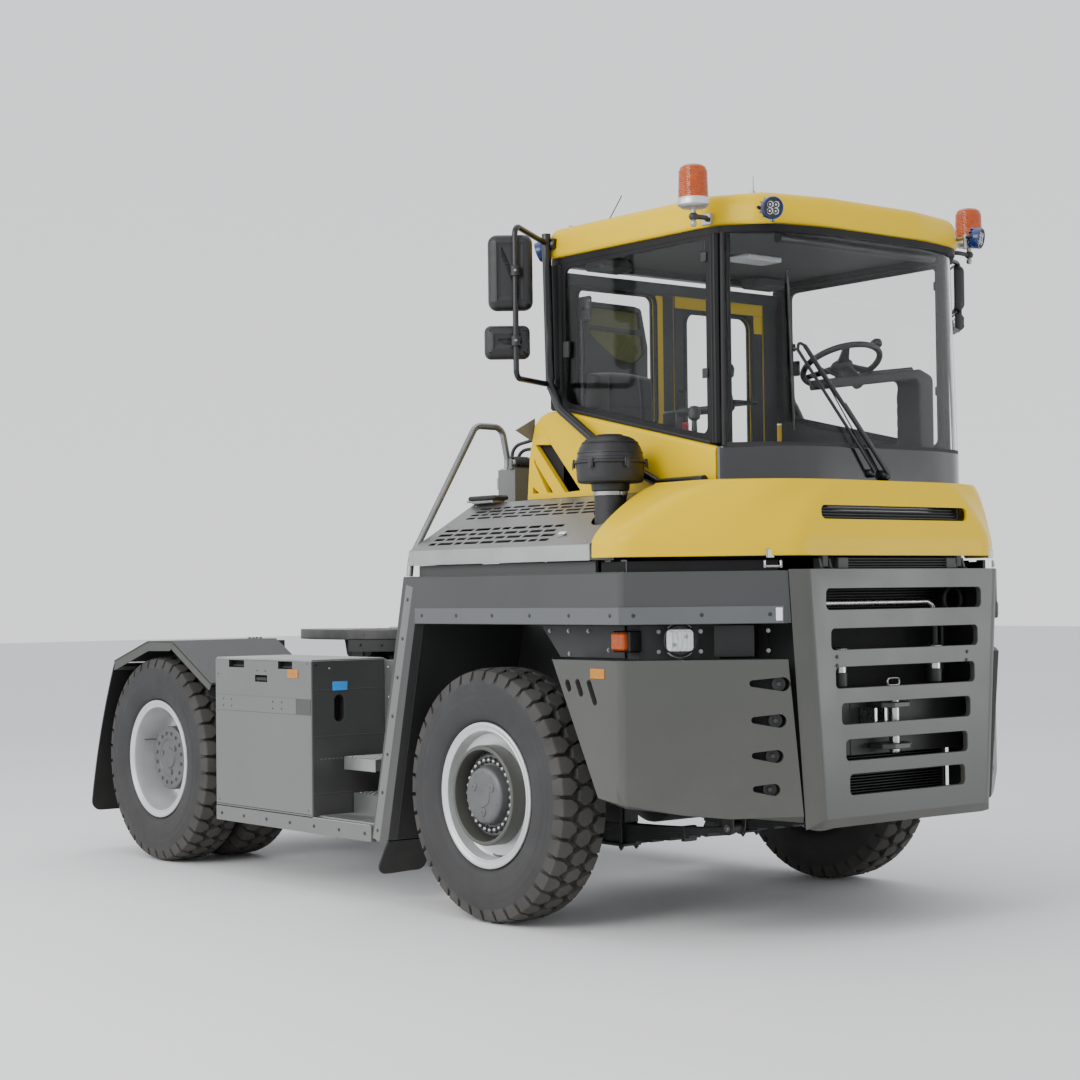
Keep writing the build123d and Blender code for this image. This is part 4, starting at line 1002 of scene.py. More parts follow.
# shadow-black filling between the fender top and the bonnet: painted shade in the gap
for s in (-1, 1):
    g.prism([(s * 1216, -2070), (s * 1216, -2226), (s * 690, -2640), (s * 690, -2600), (s * 1190, -2200), (s * 1190, -2070)],
            lambda p: V(p[0], p[1], 1634), (0, 0, 48), SHADE_BLACK)
    # wire toggle clamps
    x, y = s * 735, -2652
    n = Vector((s * 0.62, -0.78, 0))
    t = Vector((0.78, s * 0.62, 0))
    c = V(x, y, 1664) + n * 8
    g.box(-26, 26, -4, 4, -16, -6, STEEL, 1.5, Matrix.Translation(c) @ Matrix((t, n, V(0, 0, 1))).transposed().to_4x4())
    g.box(-40, -30, -5, 5, -18, 16, ZINC, 1.5, Matrix.Translation(c) @ Matrix((t, n, V(0, 0, 1))).transposed().to_4x4())
    g.box(30, 40, -5, 5, -18, 16, ZINC, 1.5, Matrix.Translation(c) @ Matrix((t, n, V(0, 0, 1))).transposed().to_4x4())
    g.tube([c + t * -34 + n * 4 + V(0, 0, 12), c + t * -34 + n * 8 + V(0, 0, -10), c + t * 34 + n * 8 + V(0, 0, -10), c + t * 34 + n * 4 + V(0, 0, 12)], 3, STEEL, 8, 8)
    # uprights seen under the side of the bonnet
    for y0 in (-2108, -2214):
        g.box(s * 1204, s * 1212, y0 - 18, y0 + 18, 1636, 1690, STEEL_PAINT, 2)
    # end of the fender band closed against the nose, in the shaded olive copy: painted shade
    ends = []
    for z, q in ((1407, 684), (1634, 701)):
        ends.append([V(s * 708, -2703, z), V(s * q, -2709, z), V(s * (q - 22), -2690, z), V(s * 690, -2682, z)])
    g.loft(ends, OLIVE_SHADED)
    # shadow-black sheet that closes the view through under the bonnet, painted shade, and the arch's inner rear corner
    g.box(s * 896, s * 904, -2294, -1300, 1640, 1758, SHADE_BLACK, 2)
    g.prism([Vector((-714, 1600)), Vector((-714, 1405)), Vector((-598, 900)), Vector((-580, 900)), Vector((-696, 1405)), Vector((-696, 1600))],
            lambda p, s=s: V(s * 578, p[0], p[1]), (s * 74, 0, 0), CHASSIS)
# cross sheet of the same painted shade
g.box(-904, 904, -2300, -2292, 1640, 1758, SHADE_BLACK, 2)
make("nose_fasteners", g, "chassis")

# trim strip along the lower edge of the fender band and down its slanted rear post
g = Geo()
BEND = -2240.0
for s in (-1, 1):
    # two flat lengths
    for a, b, n in ((V(s * 1262, -716, 0), V(s * 1262, BEND, 0), V(s, 0, 0)),
                    (V(s * 1262, BEND, 0), V(s * 716, -2696, 0), V(s * 0.6384, -0.7697, 0))):
        d = (b - a)
        L = d.length
        d.normalize()
        M = Matrix.Translation(a) @ Matrix((d, n, V(0, 0, 1))).transposed().to_4x4()
        g.box(0, L, -4, 2.6 if abs(n.x) > 0.9 else 7, 1407, 1482, STEEL_PAINT, 1.5, M)
        cnt = int(L // 290) + 1
        for i in range(cnt):
            t = 60 + i * (L - 120) / max(1, cnt - 1)
            g.dome(M @ V(t, 2.4 if abs(n.x) > 0.9 else 7, 1446), n, 9.5, 3.0, CHASSIS, 12)
            # black centre in each screw head: painted shade in its socket
            g.dome(M @ V(t, 3.0 if abs(n.x) > 0.9 else 7.8, 1446), n, 4.0, 3.0, SHADE_BLACK, 6)
        if abs(n.x) < 0.9:
            # blank silver reflector at the front end
            g.box(L - 34, L - 6, 6, 10.5, 1418, 1474, WHITE, 1.5, M)
    # strip down the slanted post, painted a lighter grey than the band's strips: painted highlight on the same paint
    a, b = V(0, -640, 1600), V(0, -330, 330)
    d = (b - a)
    L = d.length
    d.normalize()
    w = V(0, -d.z, d.y)
    M = Matrix.Translation(V(s * 1262, a.y, a.z)) @ Matrix((d, V(s, 0, 0), w * (1 if w.y > 0 else -1))).transposed().to_4x4()
    g.box(0, L, -3, 2.8, -66, -6, GREY, 1.5, M)
    for i in range(7):
        t = 70 + i * (L - 120) / 6
        g.dome(M @ V(t, 2.6, -36), V(s, 0, 0), 9.5, 3.0, CHASSIS, 12)
    # sill strip bolts
    for i in range(7):
        g.dome((s * 1266.5, -262 + i * 236, 346), V(s, 0, 0), 8.5, 2.8, CHASSIS, 12)
make("trim_strips", g, "chassis")


# ------------------------------------------------------------------ lamps in the nose recess
def lamp_frame(s):
    n = V(s * 0.6, -0.8, 0)
    t = V(s * 0.8, 0.6, 0)
    return n, t


g, gl, gi = Geo(), Geo(), Geo()
for s in (-1, 1):
    n, t = lamp_frame(s)
    c = V(s * 1032, -2376, 1336)
    B = Matrix.Translation(c) @ Matrix((t, n, V(0, 0, 1))).transposed().to_4x4()
    # headlamp: round black holder, bright facets behind a rounded square lens, foot
    g.lathe([(-62, 0), (-62, 40), (-54, 58), (-20, 71), (-8, 73), (-2, 71), (0, 66), (-5, 62), (-6, 0)], c, n, PLASTIC, 40)
    face = rrect(0, 0, 114, 92, 18, 5)
    at = lambda p, d, B=B: B @ V(p[0], d, p[1])
    g.loft([[at(p, -8) for p in face], [at(p, 0) for p in face], [at(p, 1.5) for p in inset2d(face, 3)]], FACETS)
    for k in range(5):
        g.box(-48 + 20 * k, -34 + 20 * k, 1, 5, -40, 40, FACETS, 1.8, B)
    for x0, z0 in ((-34, 8), (16, -26)):
        g.box(x0, x0 + 17, 3, 6.0, z0, z0 + 15, ZINC, 2, B)
    gl.loft([[at(p, 0) for p in inset2d(face, -3)], [at(p, 9) for p in inset2d(face, -2)], [at(p, 13) for p in inset2d(face, 5)]], GLASS)
    for k in (-1, 1):
        arc = [c + n * (-20 + 4 * abs(cos(a))) + (t * cos(a) + V(0, 0, 1) * sin(a)) * 71 for a in [radians(k * 90 + d) for d in range(-44, 45, 11)]]
        g.tube(arc, 8, ALU, 0, 8)
    g.box(-14, 14, -44, -14, -92, -60, PLASTIC, 2, B)
    # indicator: black box with an amber lens on its outer end
    g.box(s * 1096, s * 1172, -2200, -2086, 1284, 1378, PLASTIC, 6)
    gi.box(s * 1168, s * 1202, -2194, -2108, 1291, 1371, AMBER, 8)
    # bracket plate with its slanted rear edge and bolts
    g.prism([Vector((-1500, 1400)), Vector((-1640, 1254)), Vector((-2090, 1254)), Vector((-2090, 1400))], lambda p, s=s: V(s * 1096, p[0], p[1]),
            (s * 5, 0, 0), CHASSIS, 1.2)
    for y, z in ((-1565, 1374), (-1705, 1270), (-1700, 1374), (-1840, 1374), (-1980, 1290)):
        g.bolt((s * 1101, y, z), (s, 0, 0), 7, 5, ZINC)
    for f in (0.14, 0.45, 0.72, 0.95):
        p = V(s * 1094, -2182, 0).lerp(V(s * 634, -2560, 0), f)
        for z in (1284, 1372):
            g.bolt((p.x, p.y, z), n, 6.5, 5, ZINC)
    q = V(s * 800, -2430, 0)
    g.box(-120, 60, -3, 3, 1258, 1398, BLACK, 1.5, Matrix.Translation(q + n * 2) @ Matrix((t, n, V(0, 0, 1))).transposed().to_4x4())
    # blank amber reflector on the bumper's side
    g.box(s * 1262, s * 1267.5, -2140, -2046, 1170, 1214, REFLECT, 1.2)
make("headlamp_holders", g, "chassis")
make("headlamp_glass", gl, "chassis", ("headlamps",))
for s in (-1, 1):
    # rear clusters: red, amber and clear fields in one black frame
    gi.box(s * 474, s * 616, 2738, 2756, 876, 994, PLASTIC, 5)
    for k, m in enumerate((RED, AMBER, CLEAR)):
        gi.box(s * (482 + 43 * k), s * (482 + 43 * k + 39), 2752, 2766, 884, 986, m, 5)
make("indicator_lenses", gi, "chassis", ("signal_lamps",))

# bolts that show inside the bumper's slots
g = Geo()
for z, x1 in ((1142, 722), (983, 727), (829, 731), (684, 736)):
    seam = 622 + (z - 500) / 750 * 86
    y1 = BEND + (1264 - x1) / (1264 - seam) * (-2714 - BEND)
    for s in (-1, 1):
        n = V(s * 0.62, -0.78, 0)
        p = V(s * (x1 + 12), y1 + 10, z) - n * 34
        g.lathe([(-40, 30), (0, 30)], p, n, CHASSIS, 20)
        g.lathe([(0, 30), (0, 0)], p, n, CHASSIS, 20)
        g.bolt(p, n, 13, 12, CAST)
    # shadow-black box behind the slot: painted shade
    for s in (-1, 1):
        n = V(s * 0.62, -0.78, 0)
        t = V(s * 0.78, 0.62, 0)
        p = V(s * (x1 + 50), y1 + 38, z) - n * 46
        g.box(-72, 92, -40, 0, -52, 52, SHADE_BLACK, 4, Matrix.Translation(p) @ Matrix((t, n, V(0, 0, 1))).transposed().to_4x4())
make("bumper_bolts", g, "chassis")


# ------------------------------------------------------------------ bonnet
LOW = ((1262, -2060), (1262, -2236), (900, -2520), (640, -2722))
TOP = ((885, -2060), (885, -2420), (650, -2640), (380, -2694))


def bonnet_ring(z, f, pull=0.0):
    half = []
    for a, b in zip(LOW, TOP):
        half.append(Vector((a[0] + (b[0] - a[0]) * f - pull, a[1] + (b[1] - a[1]) * f + (pull * 0.8 if a[1] < -2100 else 0))))
    full = half + [Vector((-p.x, p.y)) for p in reversed(half)]
    pts = resample(fillet2d(full, [0, 150, 420, 170, 170, 420, 150, 0], 8), 121)
    return [V(p.x, p.y, z) for p in pts]


rings = [bonnet_ring(1700, 0.004, 2), bonnet_ring(1703, 0.0), bonnet_ring(1745, 0.001), bonnet_ring(1772, 0.006), bonnet_ring(1784, 0.018)]
for k in range(1, 13):
    t = k / 12.0
    rings.append(bonnet_ring(1784 + 250 * t, 0.018 + 0.982 * (1 - (1 - t ** 1.22) ** 0.82)))
rings += [bonnet_ring(2038.5, 1.0, 3.5), bonnet_ring(2040, 1.0, 9), bonnet_ring(2040, 1.0, 16)]
g = Geo()
n = len(rings[0])
g.loft(rings, YELLOW, False, False, wrap=False)
bon = mesh_object("bonnet_skin", g)
md = bon.modifiers.new("thick", "SOLIDIFY")
md.thickness, md.offset = 0.014, -1.0
apply_mods(bon)
bm = bmesh.new()
bm.from_mesh(bon.data)
bmesh.ops.recalc_face_normals(bm, faces=bm.faces)
bm.to_mesh(bon.data)
bm.free()
cut = Geo()
cut.prism(rrect(0, 1892, 980, 62, 26, 6), lambda p: V(p[0], -2760, p[1]), (0, 190, 0), SHADE_BLACK)
cutter = mesh_object("bonnet_cutter", cut)
md = bon.modifiers.new("slot", "BOOLEAN")
md.operation, md.object, md.solver = "DIFFERENCE", cutter, "EXACT"
apply_mods(bon)
bpy.data.objects.remove(cutter)
bm = bmesh.new()
bm.from_mesh(bon.data)
bmesh.ops.remove_doubles(bm, verts=bm.verts, dist=2e-5)
bm.to_mesh(bon.data)
bm.free()
bevel_now(bon, 3.0, 2, 40)
shade(bon, 30)
settle(bon, "bonnet_skin", "bonnet", ("bonnet",))

g = Geo()
# louvre insert behind the slot, a shadow-black box behind it as painted shade, and the hinge arms
for k in range(4):
    z = 1866 + 14 * k
    M = Matrix.Translation(V(0, -2662 + 8 * k, z)) @ Matrix.Rotation(radians(-28), 4, "X")
    g.box(-462, 462, -13, 13, -2.5, 2.5, STEEL_PAINT, 1, M)
g.box(-500, 500, -2632, -2626, 1846, 1936, SHADE_BLACK, 2)
g.box(-500, 500, -2660, -2626, 1842, 1848, SHADE_BLACK, 2)
for s in (-1, 1):
    g.box(s * 464, s * 474, -2676, -2630, 1856, 1928, CHASSIS, 2)
    g.box(s * 430, s * 470, -2696, -2662, 1646, 1756, CHASSIS, 5)
    # latch plates under the edge
    g.box(s * 720, s * 760, -2648, -2636, 1690, 1730, ZINC, 2)
make("bonnet_louvre", g, "bonnet")

# sealing strip between the cab foot and the bonnet
g = Geo()
half_out = [Vector((860, -2070)), Vector((860, -2404)), Vector((634, -2612)), Vector((372, -2662))]
half_in = [Vector((786, -2070)), Vector((786, -2390)), Vector((606, -2578)), Vector((348, -2634))]
o2 = fillet2d(half_out + [Vector((-p.x, p.y)) for p in reversed(half_out)], [0, 120, 160, 300, 300, 160, 120, 0], 5)
i2 = fillet2d(half_in + [Vector((-p.x, p.y)) for p in reversed(half_in)], [0, 120, 160, 300, 300, 160, 120, 0], 5)
verts = [V(p.x, p.y, 2016) for p in o2] + [V(p.x, p.y, 2022) for p in i2]
m = len(o2)
g.add(verts + [v - V(0, 0, 14) for v in verts],
      [(k, k + 1, m + k + 1, m + k) for k in range(m - 1)] + [(2 * m + k + 1, 2 * m + k, 3 * m + k, 3 * m + k + 1) for k in range(m - 1)]
      + [(k + 1, k, 2 * m + k, 2 * m + k + 1) for k in range(m - 1)], RUBBER)
make("cowl_seal", g, "chassis")


# ------------------------------------------------------------------ deck covers
SL = V(-412, 0, 242)
SLEN = SL.length
SDIR = SL.normalized()


def seq(i):
    """Repeatable uneven numbers between 0 and 1."""
    x = sin(12.9898 * i + 4.1414) * 43758.5453
    return x - floor(x)


def deck(s):
    g = Geo()
    base = V(1262, 0, 1760)
    to3d = lambda p: V(s * (base.x + SDIR.x * p[0]), p[1], base.z + SDIR.z * p[0])
    y0, y1 = -2043.0, -666.0
    holes, k = [], 0
    for rows, ya, yb in (((64, 108, 152, 196), -1690, -742), ((318, 350, 382, 414), -1800, -760)):
        for i, sl in enumerate(rows):
            y = yb - 34 * seq(i + 7 * len(rows) + sl)
            while y > ya + 30:
                L = 52 + 66 * seq(k)
                k += 1
                e = max(ya, y - L)
                if y - e > 24 and not (s < 0 and sl > 170 and e < -1795):
                    w = 12 if sl < 250 else 9
                    holes.append(fillet2d([(sl - w, e), (sl + w, e), (sl + w, y), (sl - w, y)], 6, 3))
                y = e - 20
    outline = [(3, y0), (SLEN - 1, y0), (SLEN - 1, y1), (3, y1)]
    if s < 0:
        c = [(287.7 + 104 * cos(2 * pi * q / 36), -1905 + 90 * sin(2 * pi * q / 36)) for q in range(36)]
        holes = [h for h in holes if not any(hypot((p[0] - 287.7) / 104, (p[1] + 1905) / 90) < 1.12 for p in h)] + [c]
    nrm = V(s * SDIR.z, 0, -SDIR.x)
    g.plate(outline, holes, to3d, nrm * -4, DECK)
    # shadow-black sheet under the slots: painted shade
    under = fillet2d([(20, -1850 if s > 0 else -1795), (SLEN - 16, -1850 if s > 0 else -1795), (SLEN - 16, y1 - 16), (20, y1 - 16)], 0, 1)
    g.loft([[to3d(p) - nrm * 20 for p in under], [to3d(p) - nrm * 22 for p in under]], SHADE_BLACK)
    # folded edges
    g.box(s * 1256, s * 1262, y0, y1, 1690, 1762, GALV, 2)
    g.box(s * 806, s * 852, y0, y1, 1995, 2001, GALV, 2)
    prof = [(1256, 1692), (1256, 1757), (850, 1996), (808, 1996), (808, 1692)]
    g.prism([Vector((s * a, b)) for a, b in prof], lambda p: V(p[0], y1 - 5, p[1]), (0, 5, 0), GALV)
    g.prism([Vector((s * a, b)) for a, b in ((1256, 1692), (1256, 1757), (1120, 1836), (1120, 1692))], lambda p: V(p[0], y0, p[1]), (0, 4, 0), GALV)
    # screws and the turn latch
    for sl, y in ((30, -1990), (30, -1370), (30, -720), (250, -2000), (452, -1990), (452, -1380), (452, -710), (250, -700)):
        g.dome(to3d((sl, y)), nrm, 8, 4, ZINC)
    c = to3d((104, -1745))
    g.lathe([(0, 24), (3, 24), (5, 20), (5, 0)], c, nrm, ZINC, 20)
    M = Matrix.Translation(c + nrm * 5) @ Matrix((V(0, 1, 0), V(s * SDIR.x, 0, SDIR.z), nrm)).transposed().to_4x4()
    g.box(-34, 12, -8, 8, 0, 8, WHITE, 2, M)
    side = "right" if s < 0 else "left"
    make("deck_cover_" + side, g, "chassis", ("deck_covers",))


for sd, sn in SIDES:
    deck(sd)

g = Geo()
# black cap on a silver foot on the deck's rear top edge
for s in (-1, 1):
    g.box(s * 815, s * 915, -905, -690, 2012, 2036, PLASTIC, 8)
    g.box(s * 822, s * 905, -880, -712, 1998, 2014, ZINC, 3)
    g.box(s * 838, s * 892, -720, -650, 2006, 2018, STEEL, 3)
make("deck_caps", g, "chassis")

# ------------------------------------------------------------------ air pre-cleaner
g = Geo()
C = (-1014, -1905, 0)
g.lathe([(1644, 0), (1644, 72), (1648, 74), (1984, 74), (1985, 76, ZINC), (1987, 79, ZINC), (2004, 79, ZINC), (2006, 76, PLASTIC), (2010, 86), (2038, 88),
         (2042, 94), (2044, 138), (2047, 146), (2052, 150), (2066, 152), (2070, 153), (2128, 156), (2132, 160), (2134, 164), (2144, 164), (2146, 160), (2148, 154),
         (2158, 153), (2160, 150), (2176, 148), (2178, 150), (2184, 149), (2186, 146), (2206, 139), (2222, 129), (2224, 131), (2228, 129), (2230, 124),
         (2244, 108), (2254, 86), (2260, 60), (2264, 56), (2266, 30), (2267, 0)], C, (0, 0, 1), PLASTIC, 64)
for k in range(6):
    t = 2 * pi * k / 6 + 0.3
    M = Matrix.Translation(V(C[0], C[1], 0)) @ Matrix.Rotation(t, 4, "Z")
    g.box(158, 170, -14, 14, 2112, 2152, PLASTIC, 3, M)
    g.box(168, 173, -5, 5, 2104, 2138, CHASSIS, 1.5, M)
for k in range(24):
    t = 2 * pi * k / 24
    M = Matrix.Translation(V(C[0], C[1], 0)) @ Matrix.Rotation(t, 4, "Z")
    g.box(110, 141, -2, 2, 2044, 2056, PLASTIC, 0.5, M)
# clamp screw, collar where the pipe passes the deck
g.box(-1014 - 12, -1014 + 12, -1905 - 92, -1905 - 78, 1986, 2004, ZINC, 2)
g.lathe([(0, 84), (10, 84), (14, 78)], (-1014, -1905, 1880), (0.506, 0, 0.862), RUBBER, 40)
make("precleaner", g, "chassis", ("air_precleaner",), smooth=38)


# ------------------------------------------------------------------ cab shell
def plan_loop(half, radii, seg=8):
    """Closed plan outline from its left half, rear to front."""
    full = [Vector(p) for p in half] + [Vector((-p[0], p[1])) for p in reversed(half)]
    return fillet2d(full, list(radii) + list(reversed(radii)), seg)


def plan_front(half, radii, n, seg=8):
    """Open plan line round the front, from the left rear end to the right one."""
    full = [Vector(p) for p in half] + [Vector((-p[0], p[1])) for p in reversed(half)]
    return resample(fillet2d(full, list(radii) + list(reversed(radii)), seg), n)


# roof: rounded cap with a dark underside
g = Geo()
ROOF = [(806, -1184), (806, -2300), (655, -2556), (300, -2632)]
RR = [60, 110, 90, 500]


def roof_ring(inset, z):
    k = inset
    half = [(806 - k, -1184 - k), (806 - k, -2300 + 0.3 * k), (655 - 0.8 * k, -2556 + 0.85 * k), (300 - 0.2 * k, -2632 + k)]
    pts = plan_loop(half, [max(8, RR[0] - k * 0.5), RR[1], RR[2], RR[3]], 8)
    loop = resample(pts + [pts[0]], 161)[:-1]
    return [V(p.x, p.y, z) for p in loop]


prof = [(30, 3173), (14, 3172), (5, 3175), (0.5, 3184), (0, 3196), (3, 3240), (6, 3262), (10, 3280), (17, 3296), (27, 3308), (40, 3316.5), (58, 3321.5),
        (120, 3325), (300, 3329.5)]
g.loft([roof_ring(k, z) for k, z in prof], YELLOW, False, True)
g.loft([roof_ring(30, 3173), roof_ring(34, 3176)], BLACK, False, False)
g.loft([roof_ring(34, 3176), roof_ring(400, 3176)], LINER, False, True)
make("roof_cap", g, "chassis", ("cab_roof",), smooth=50)

# top ring, posts and window seals
g = Geo()
OUT = [(786, -1204), (786, -2388), (607, -2578), (350, -2636)]
INN = [(736, -1254), (736, -2360), (568, -2534), (350, -2586)]
RING_R = [26, 150, 200, 800]
o2, i2 = plan_loop(OUT, RING_R), plan_loop(INN, [10, 120, 170, 700])
o2 = resample(o2 + [o2[0]], 141)[:-1]
i2 = resample(i2 + [i2[0]], 141)[:-1]
m = len(o2)
for loops, mat in ((((o2, 3140), (o2, 3171), (i2, 3171), (i2, 3140), (o2, 3140)), PILLAR),):
    g.loft([[V(p.x, p.y, z) for p in l] for l, z in loops], mat, False, False)
for s in (-1, 1):
    g.box(s * 742, s * 794, -1292, -1204, 2434, 3142, PILLAR, 10)
    g.box(s * 742, s * 788, -2384, -2330, 2204, 3142, PILLAR, 7)
    g.box(s * 786, s * 792, -2372, -2362, 2206, 3140, RUBBER, 2)
    g.box(s * 786, s * 791, -2350, -2342, 2206, 3140, RUBBER, 2)
    # side window surround with rounded inner corners
    outer = [Vector((-1290, 2434)), Vector((-2334, 2204)), Vector((-2334, 3142)), Vector((-1290, 3142))]
    inner = fillet2d([(-1322, 2466), (-2306, 2246), (-2306, 3124), (-1322, 3116)], [40, 30, 20, 40], 6)
    g.plate(outer, [inner], lambda p, s=s: V(s * 784, p[0], p[1]), (s * -16, 0, 0), PILLAR)
    # hinge and handle fittings on the sash
    for z in (2500, 3020):
        g.box(s * 784, s * 792, -2318, -2282, z, z + 44, PLASTIC, 3)
    g.box(s * 784, s * 800, -1356, -1316, 2680, 2760, PLASTIC, 5)
make("cab_frame", g, "chassis", ("cab_pillars",), bevel=0, smooth=40)

# windscreen: one curved pane
def screen_line(k, dy, n=97):
    return plan_front([(790 - k, -2408 + dy), (606 - k, -2580 + dy), (350, -2634 + dy)], [0, 300, 1000], n, 10)


g = Geo()
rows = []
for z, k, dy in ((2193, 8, 0), (3146, 26, 14)):
    o = screen_line(k, dy)
    i = offset_line(o, -7.0)
    if (i[48] - o[48]).y < 0:
        i = offset_line(o, 7.0)
    rows.append([V(p.x, p.y, z) for p in o] + [V(p.x, p.y, z) for p in reversed(i)])
g.loft(rows, GLASS)
make("windscreen_pane", g, "chassis", ("windscreen",), smooth=60)
g = Geo()
for z, k, dy, h in ((2184, 8, 0, 22), (3138, 26, 14, 10)):
    o = screen_line(k - 3, dy - 2)
    i = offset_line(o, 12.0)
    if (i[48] - o[48]).y < 0:
        i = offset_line(o, -12.0)
    sec = [[V(p.x, p.y, z) for p in o], [V(p.x, p.y, z + h) for p in o], [V(p.x, p.y, z + h) for p in i], [V(p.x, p.y, z) for p in i], [V(p.x, p.y, z) for p in o]]
    g.loft(sec, RUBBER, False, False, wrap=False)
for s in (-1, 1):
    g.tube([(s * 781, -2409, 2192), (s * 763, -2395, 3142)], 11, RUBBER, 0, 10)
    # far upright of the screen on the inside
    g.box(s * 724, s * 752, -2412, -2380, 2192, 3142, PILLAR, 8)
make("windscreen_seal", g, "chassis", smooth=50)

# cab foot: rounded front band, side and rear walls, floor
g = Geo()
band = plan_front([(790, -2372), (790, -2396), (610, -2582), (350, -2640)], [0, 60, 300, 1000], 97, 10)
inn = offset_line(band, 40.0)
if (inn[48] - band[48]).y < 0:
    inn = offset_line(band, -40.0)
g.loft([[V(p.x, p.y, 1762) for p in band], [V(p.x, p.y, 2184) for p in band], [V(p.x * 0.996, p.y + 3, 2190) for p in band],
        [V(p.x, p.y, 2190) for p in inn], [V(p.x, p.y, 1762) for p in inn]], GLOSS, False, False, wrap=False)
for s in (-1, 1):
    g.box(s * 750, s * 790, -2376, -1202, 1762, 1998, BLACK, 4)
    g.box(s * 752, s * 786, -2378, -2366, 1998, 2188, BLACK, 2)
g.box(-750, 0, -1240, -1202, 1762, 1998, YELLOW, 4)
g.box(640, 750, -1240, -1202, 1762, 1998, YELLOW, 4)
g.box(0, 640, -1240, -1202, 1762, 1800, BLACK, 4)
floor_o = plan_loop([(760, -1230), (760, -2380), (590, -2560), (340, -2610)], [10, 120, 200, 400], 6)
g.loft([[V(p.x, p.y, 1764) for p in floor_o], [V(p.x, p.y, 1800) for p in floor_o]], TRIM)
g.box(-600, 600, -2300, -1300, 1799, 1806, RUBBER, 3)
for k in range(24):
    x = -575 + 50 * k
    g.box(x - 12, x + 12, -2290, -1310, 1805, 1809, RUBBER, 1.5)
make("cab_tub", g, "chassis", ("cab_base",), smooth=40)

# yellow quarter panels with a rolled edge
softened("cab_side_panels", "chassis", 3, YELLOW, seg=2,
         rounds=((lambda m, d: abs(abs(m.x) - 796) < 1 and m.z > 2180 and not (m.y > -1440 and m.y < -1085 and m.z < 2290), 22, 6),
                 (lambda m, d: abs(abs(m.x) - 796) < 1 and m.y > -1080 and m.y < -1000, 12, 4)))
g = Geo()
for s in (-1, 1):
    # shadow-black sheet behind the three slots: painted shade
    g.box(s * 748, s * 762, -1450, -1062, 2010, 2300, SHADE_BLACK, 2)
    # black sealing lip between the panel and the window
    g.tube([(s * 780, -1300, 2438), (s * 780, -2326, 2210)], 9, RUBBER, 0, 8)
    # tread ledge at the panel's foot
    g.box(s * 790, s * 826, -2060, -1040, 1996, 2006, BLACK, 2)
make("quarter_lining", g, "chassis")

# ------------------------------------------------------------------ rear wall, door and their seals
softened("cab_rear_wall", "chassis", 4, YELLOW, mats=(TRIM,), paint=lambda c, n: 1 if n.y < -0.9 else 0)
softened("rear_door", "rear_door", 5, YELLOW, seg=3, mats=(TRIM,), paint=lambda c, n: 1 if n.y < -0.9 else 0)


def frame_seal(g, x0, x1, z0, z1, r, y, mat, wid=16, dep=10):
    path = fillet2d([(x0, z0), (x1, z0), (x1, z1), (x0, z1)], r, 7)
    sec = [(-wid / 2, -dep / 2), (wid / 2, -dep / 2), (wid / 2, dep / 2), (-wid / 2, dep / 2)]
    g.sweep([V(p.x, y, p.y) for p in path], [(b, a) for a, b in [(dep / 2, -wid / 2), (dep / 2, wid / 2), (-dep / 2, wid / 2), (-dep / 2, -wid / 2)]],
            mat, (0, 1, 0), True)


g = Geo()
frame_seal(g, -638, -122, 2382, 3048, 48, -1206, RUBBER, 18, 12)
frame_seal(g, -638, -122, 2382, 3048, 48, -1239, RUBBER, 18, 12)
for x in (-700, -60, 690):
    for z in (2080, 2360, 3080):
        g.dome((x, -1205, z), (0, 1, 0), 8, 4, ZINC)
# inside trim on the rear wall, painted edge beside the window
g.box(-122, -76, -1244, -1240, 2384, 3046, YELLOW, 1)
g.box(-736, -10, -1252, -1240, 2010, 2370, TRIM, 4)
g.box(-736, 736, -1258, -1240, 3052, 3110, LINER, 4)
# striker and gutter over the door
g.box(-14, 0, -1206, -1190, 2340, 2420, ZINC, 2)
g.box(-20, 700, -1206, -1186, 3070, 3082, BLACK, 3)
make("rear_wall_fittings", g, "chassis")
g = Geo()
frame_seal(g, 82, 558, 2252, 2983, 68, -1203, RUBBER, 18, 12)
frame_seal(g, 82, 558, 2252, 2983, 68, -1237, RUBBER, 18, 12)
# painted strips left bare on the inside
g.box(12, 632, -1242, -1237.5, 2994, 3054, YELLOW, 1)
g.box(568, 630, -1242, -1237.5, 2900, 2992, YELLOW, 1)
# handle outside, pull bar inside, lower panel pressing
g.box(30, 66, -1203, -1190, 2330, 2470, PLASTIC, 5)
g.box(38, 58, -1190, -1172, 2356, 2376, PLASTIC, 4)
g.tube([(48, -1176, 2366), (48, -1172, 2450)], 8, PLASTIC, 0, 10)
g.tube([(40, -1240, 2200), (40, -1280, 2210), (40, -1280, 2560), (40, -1240, 2570)], 9, BLACK, 25, 10)
g.prism(rrect(320, 2030, 470, 330, 40, 6), lambda p: V(p[0], -1203.5, p[1]), (0, 5, 0), YELLOW, 3)
make("rear_door_fittings", g, "rear_door")

# ------------------------------------------------------------------ seat
SA = radians(0)
SX, SY = Vector((cos(SA), sin(SA), 0)), Vector((-sin(SA), cos(SA), 0))
SO = V(-505, -1690, 0)


def seat_p(a, b, z):
    """a across the seat, b towards its back."""
    return SO + SX * a + SY * b + V(0, 0, z)


def seat_m(z=0.0):
    return Matrix.Translation(SO + V(0, 0, z)) @ Matrix((SX, SY, V(0, 0, 1))).transposed().to_4x4()


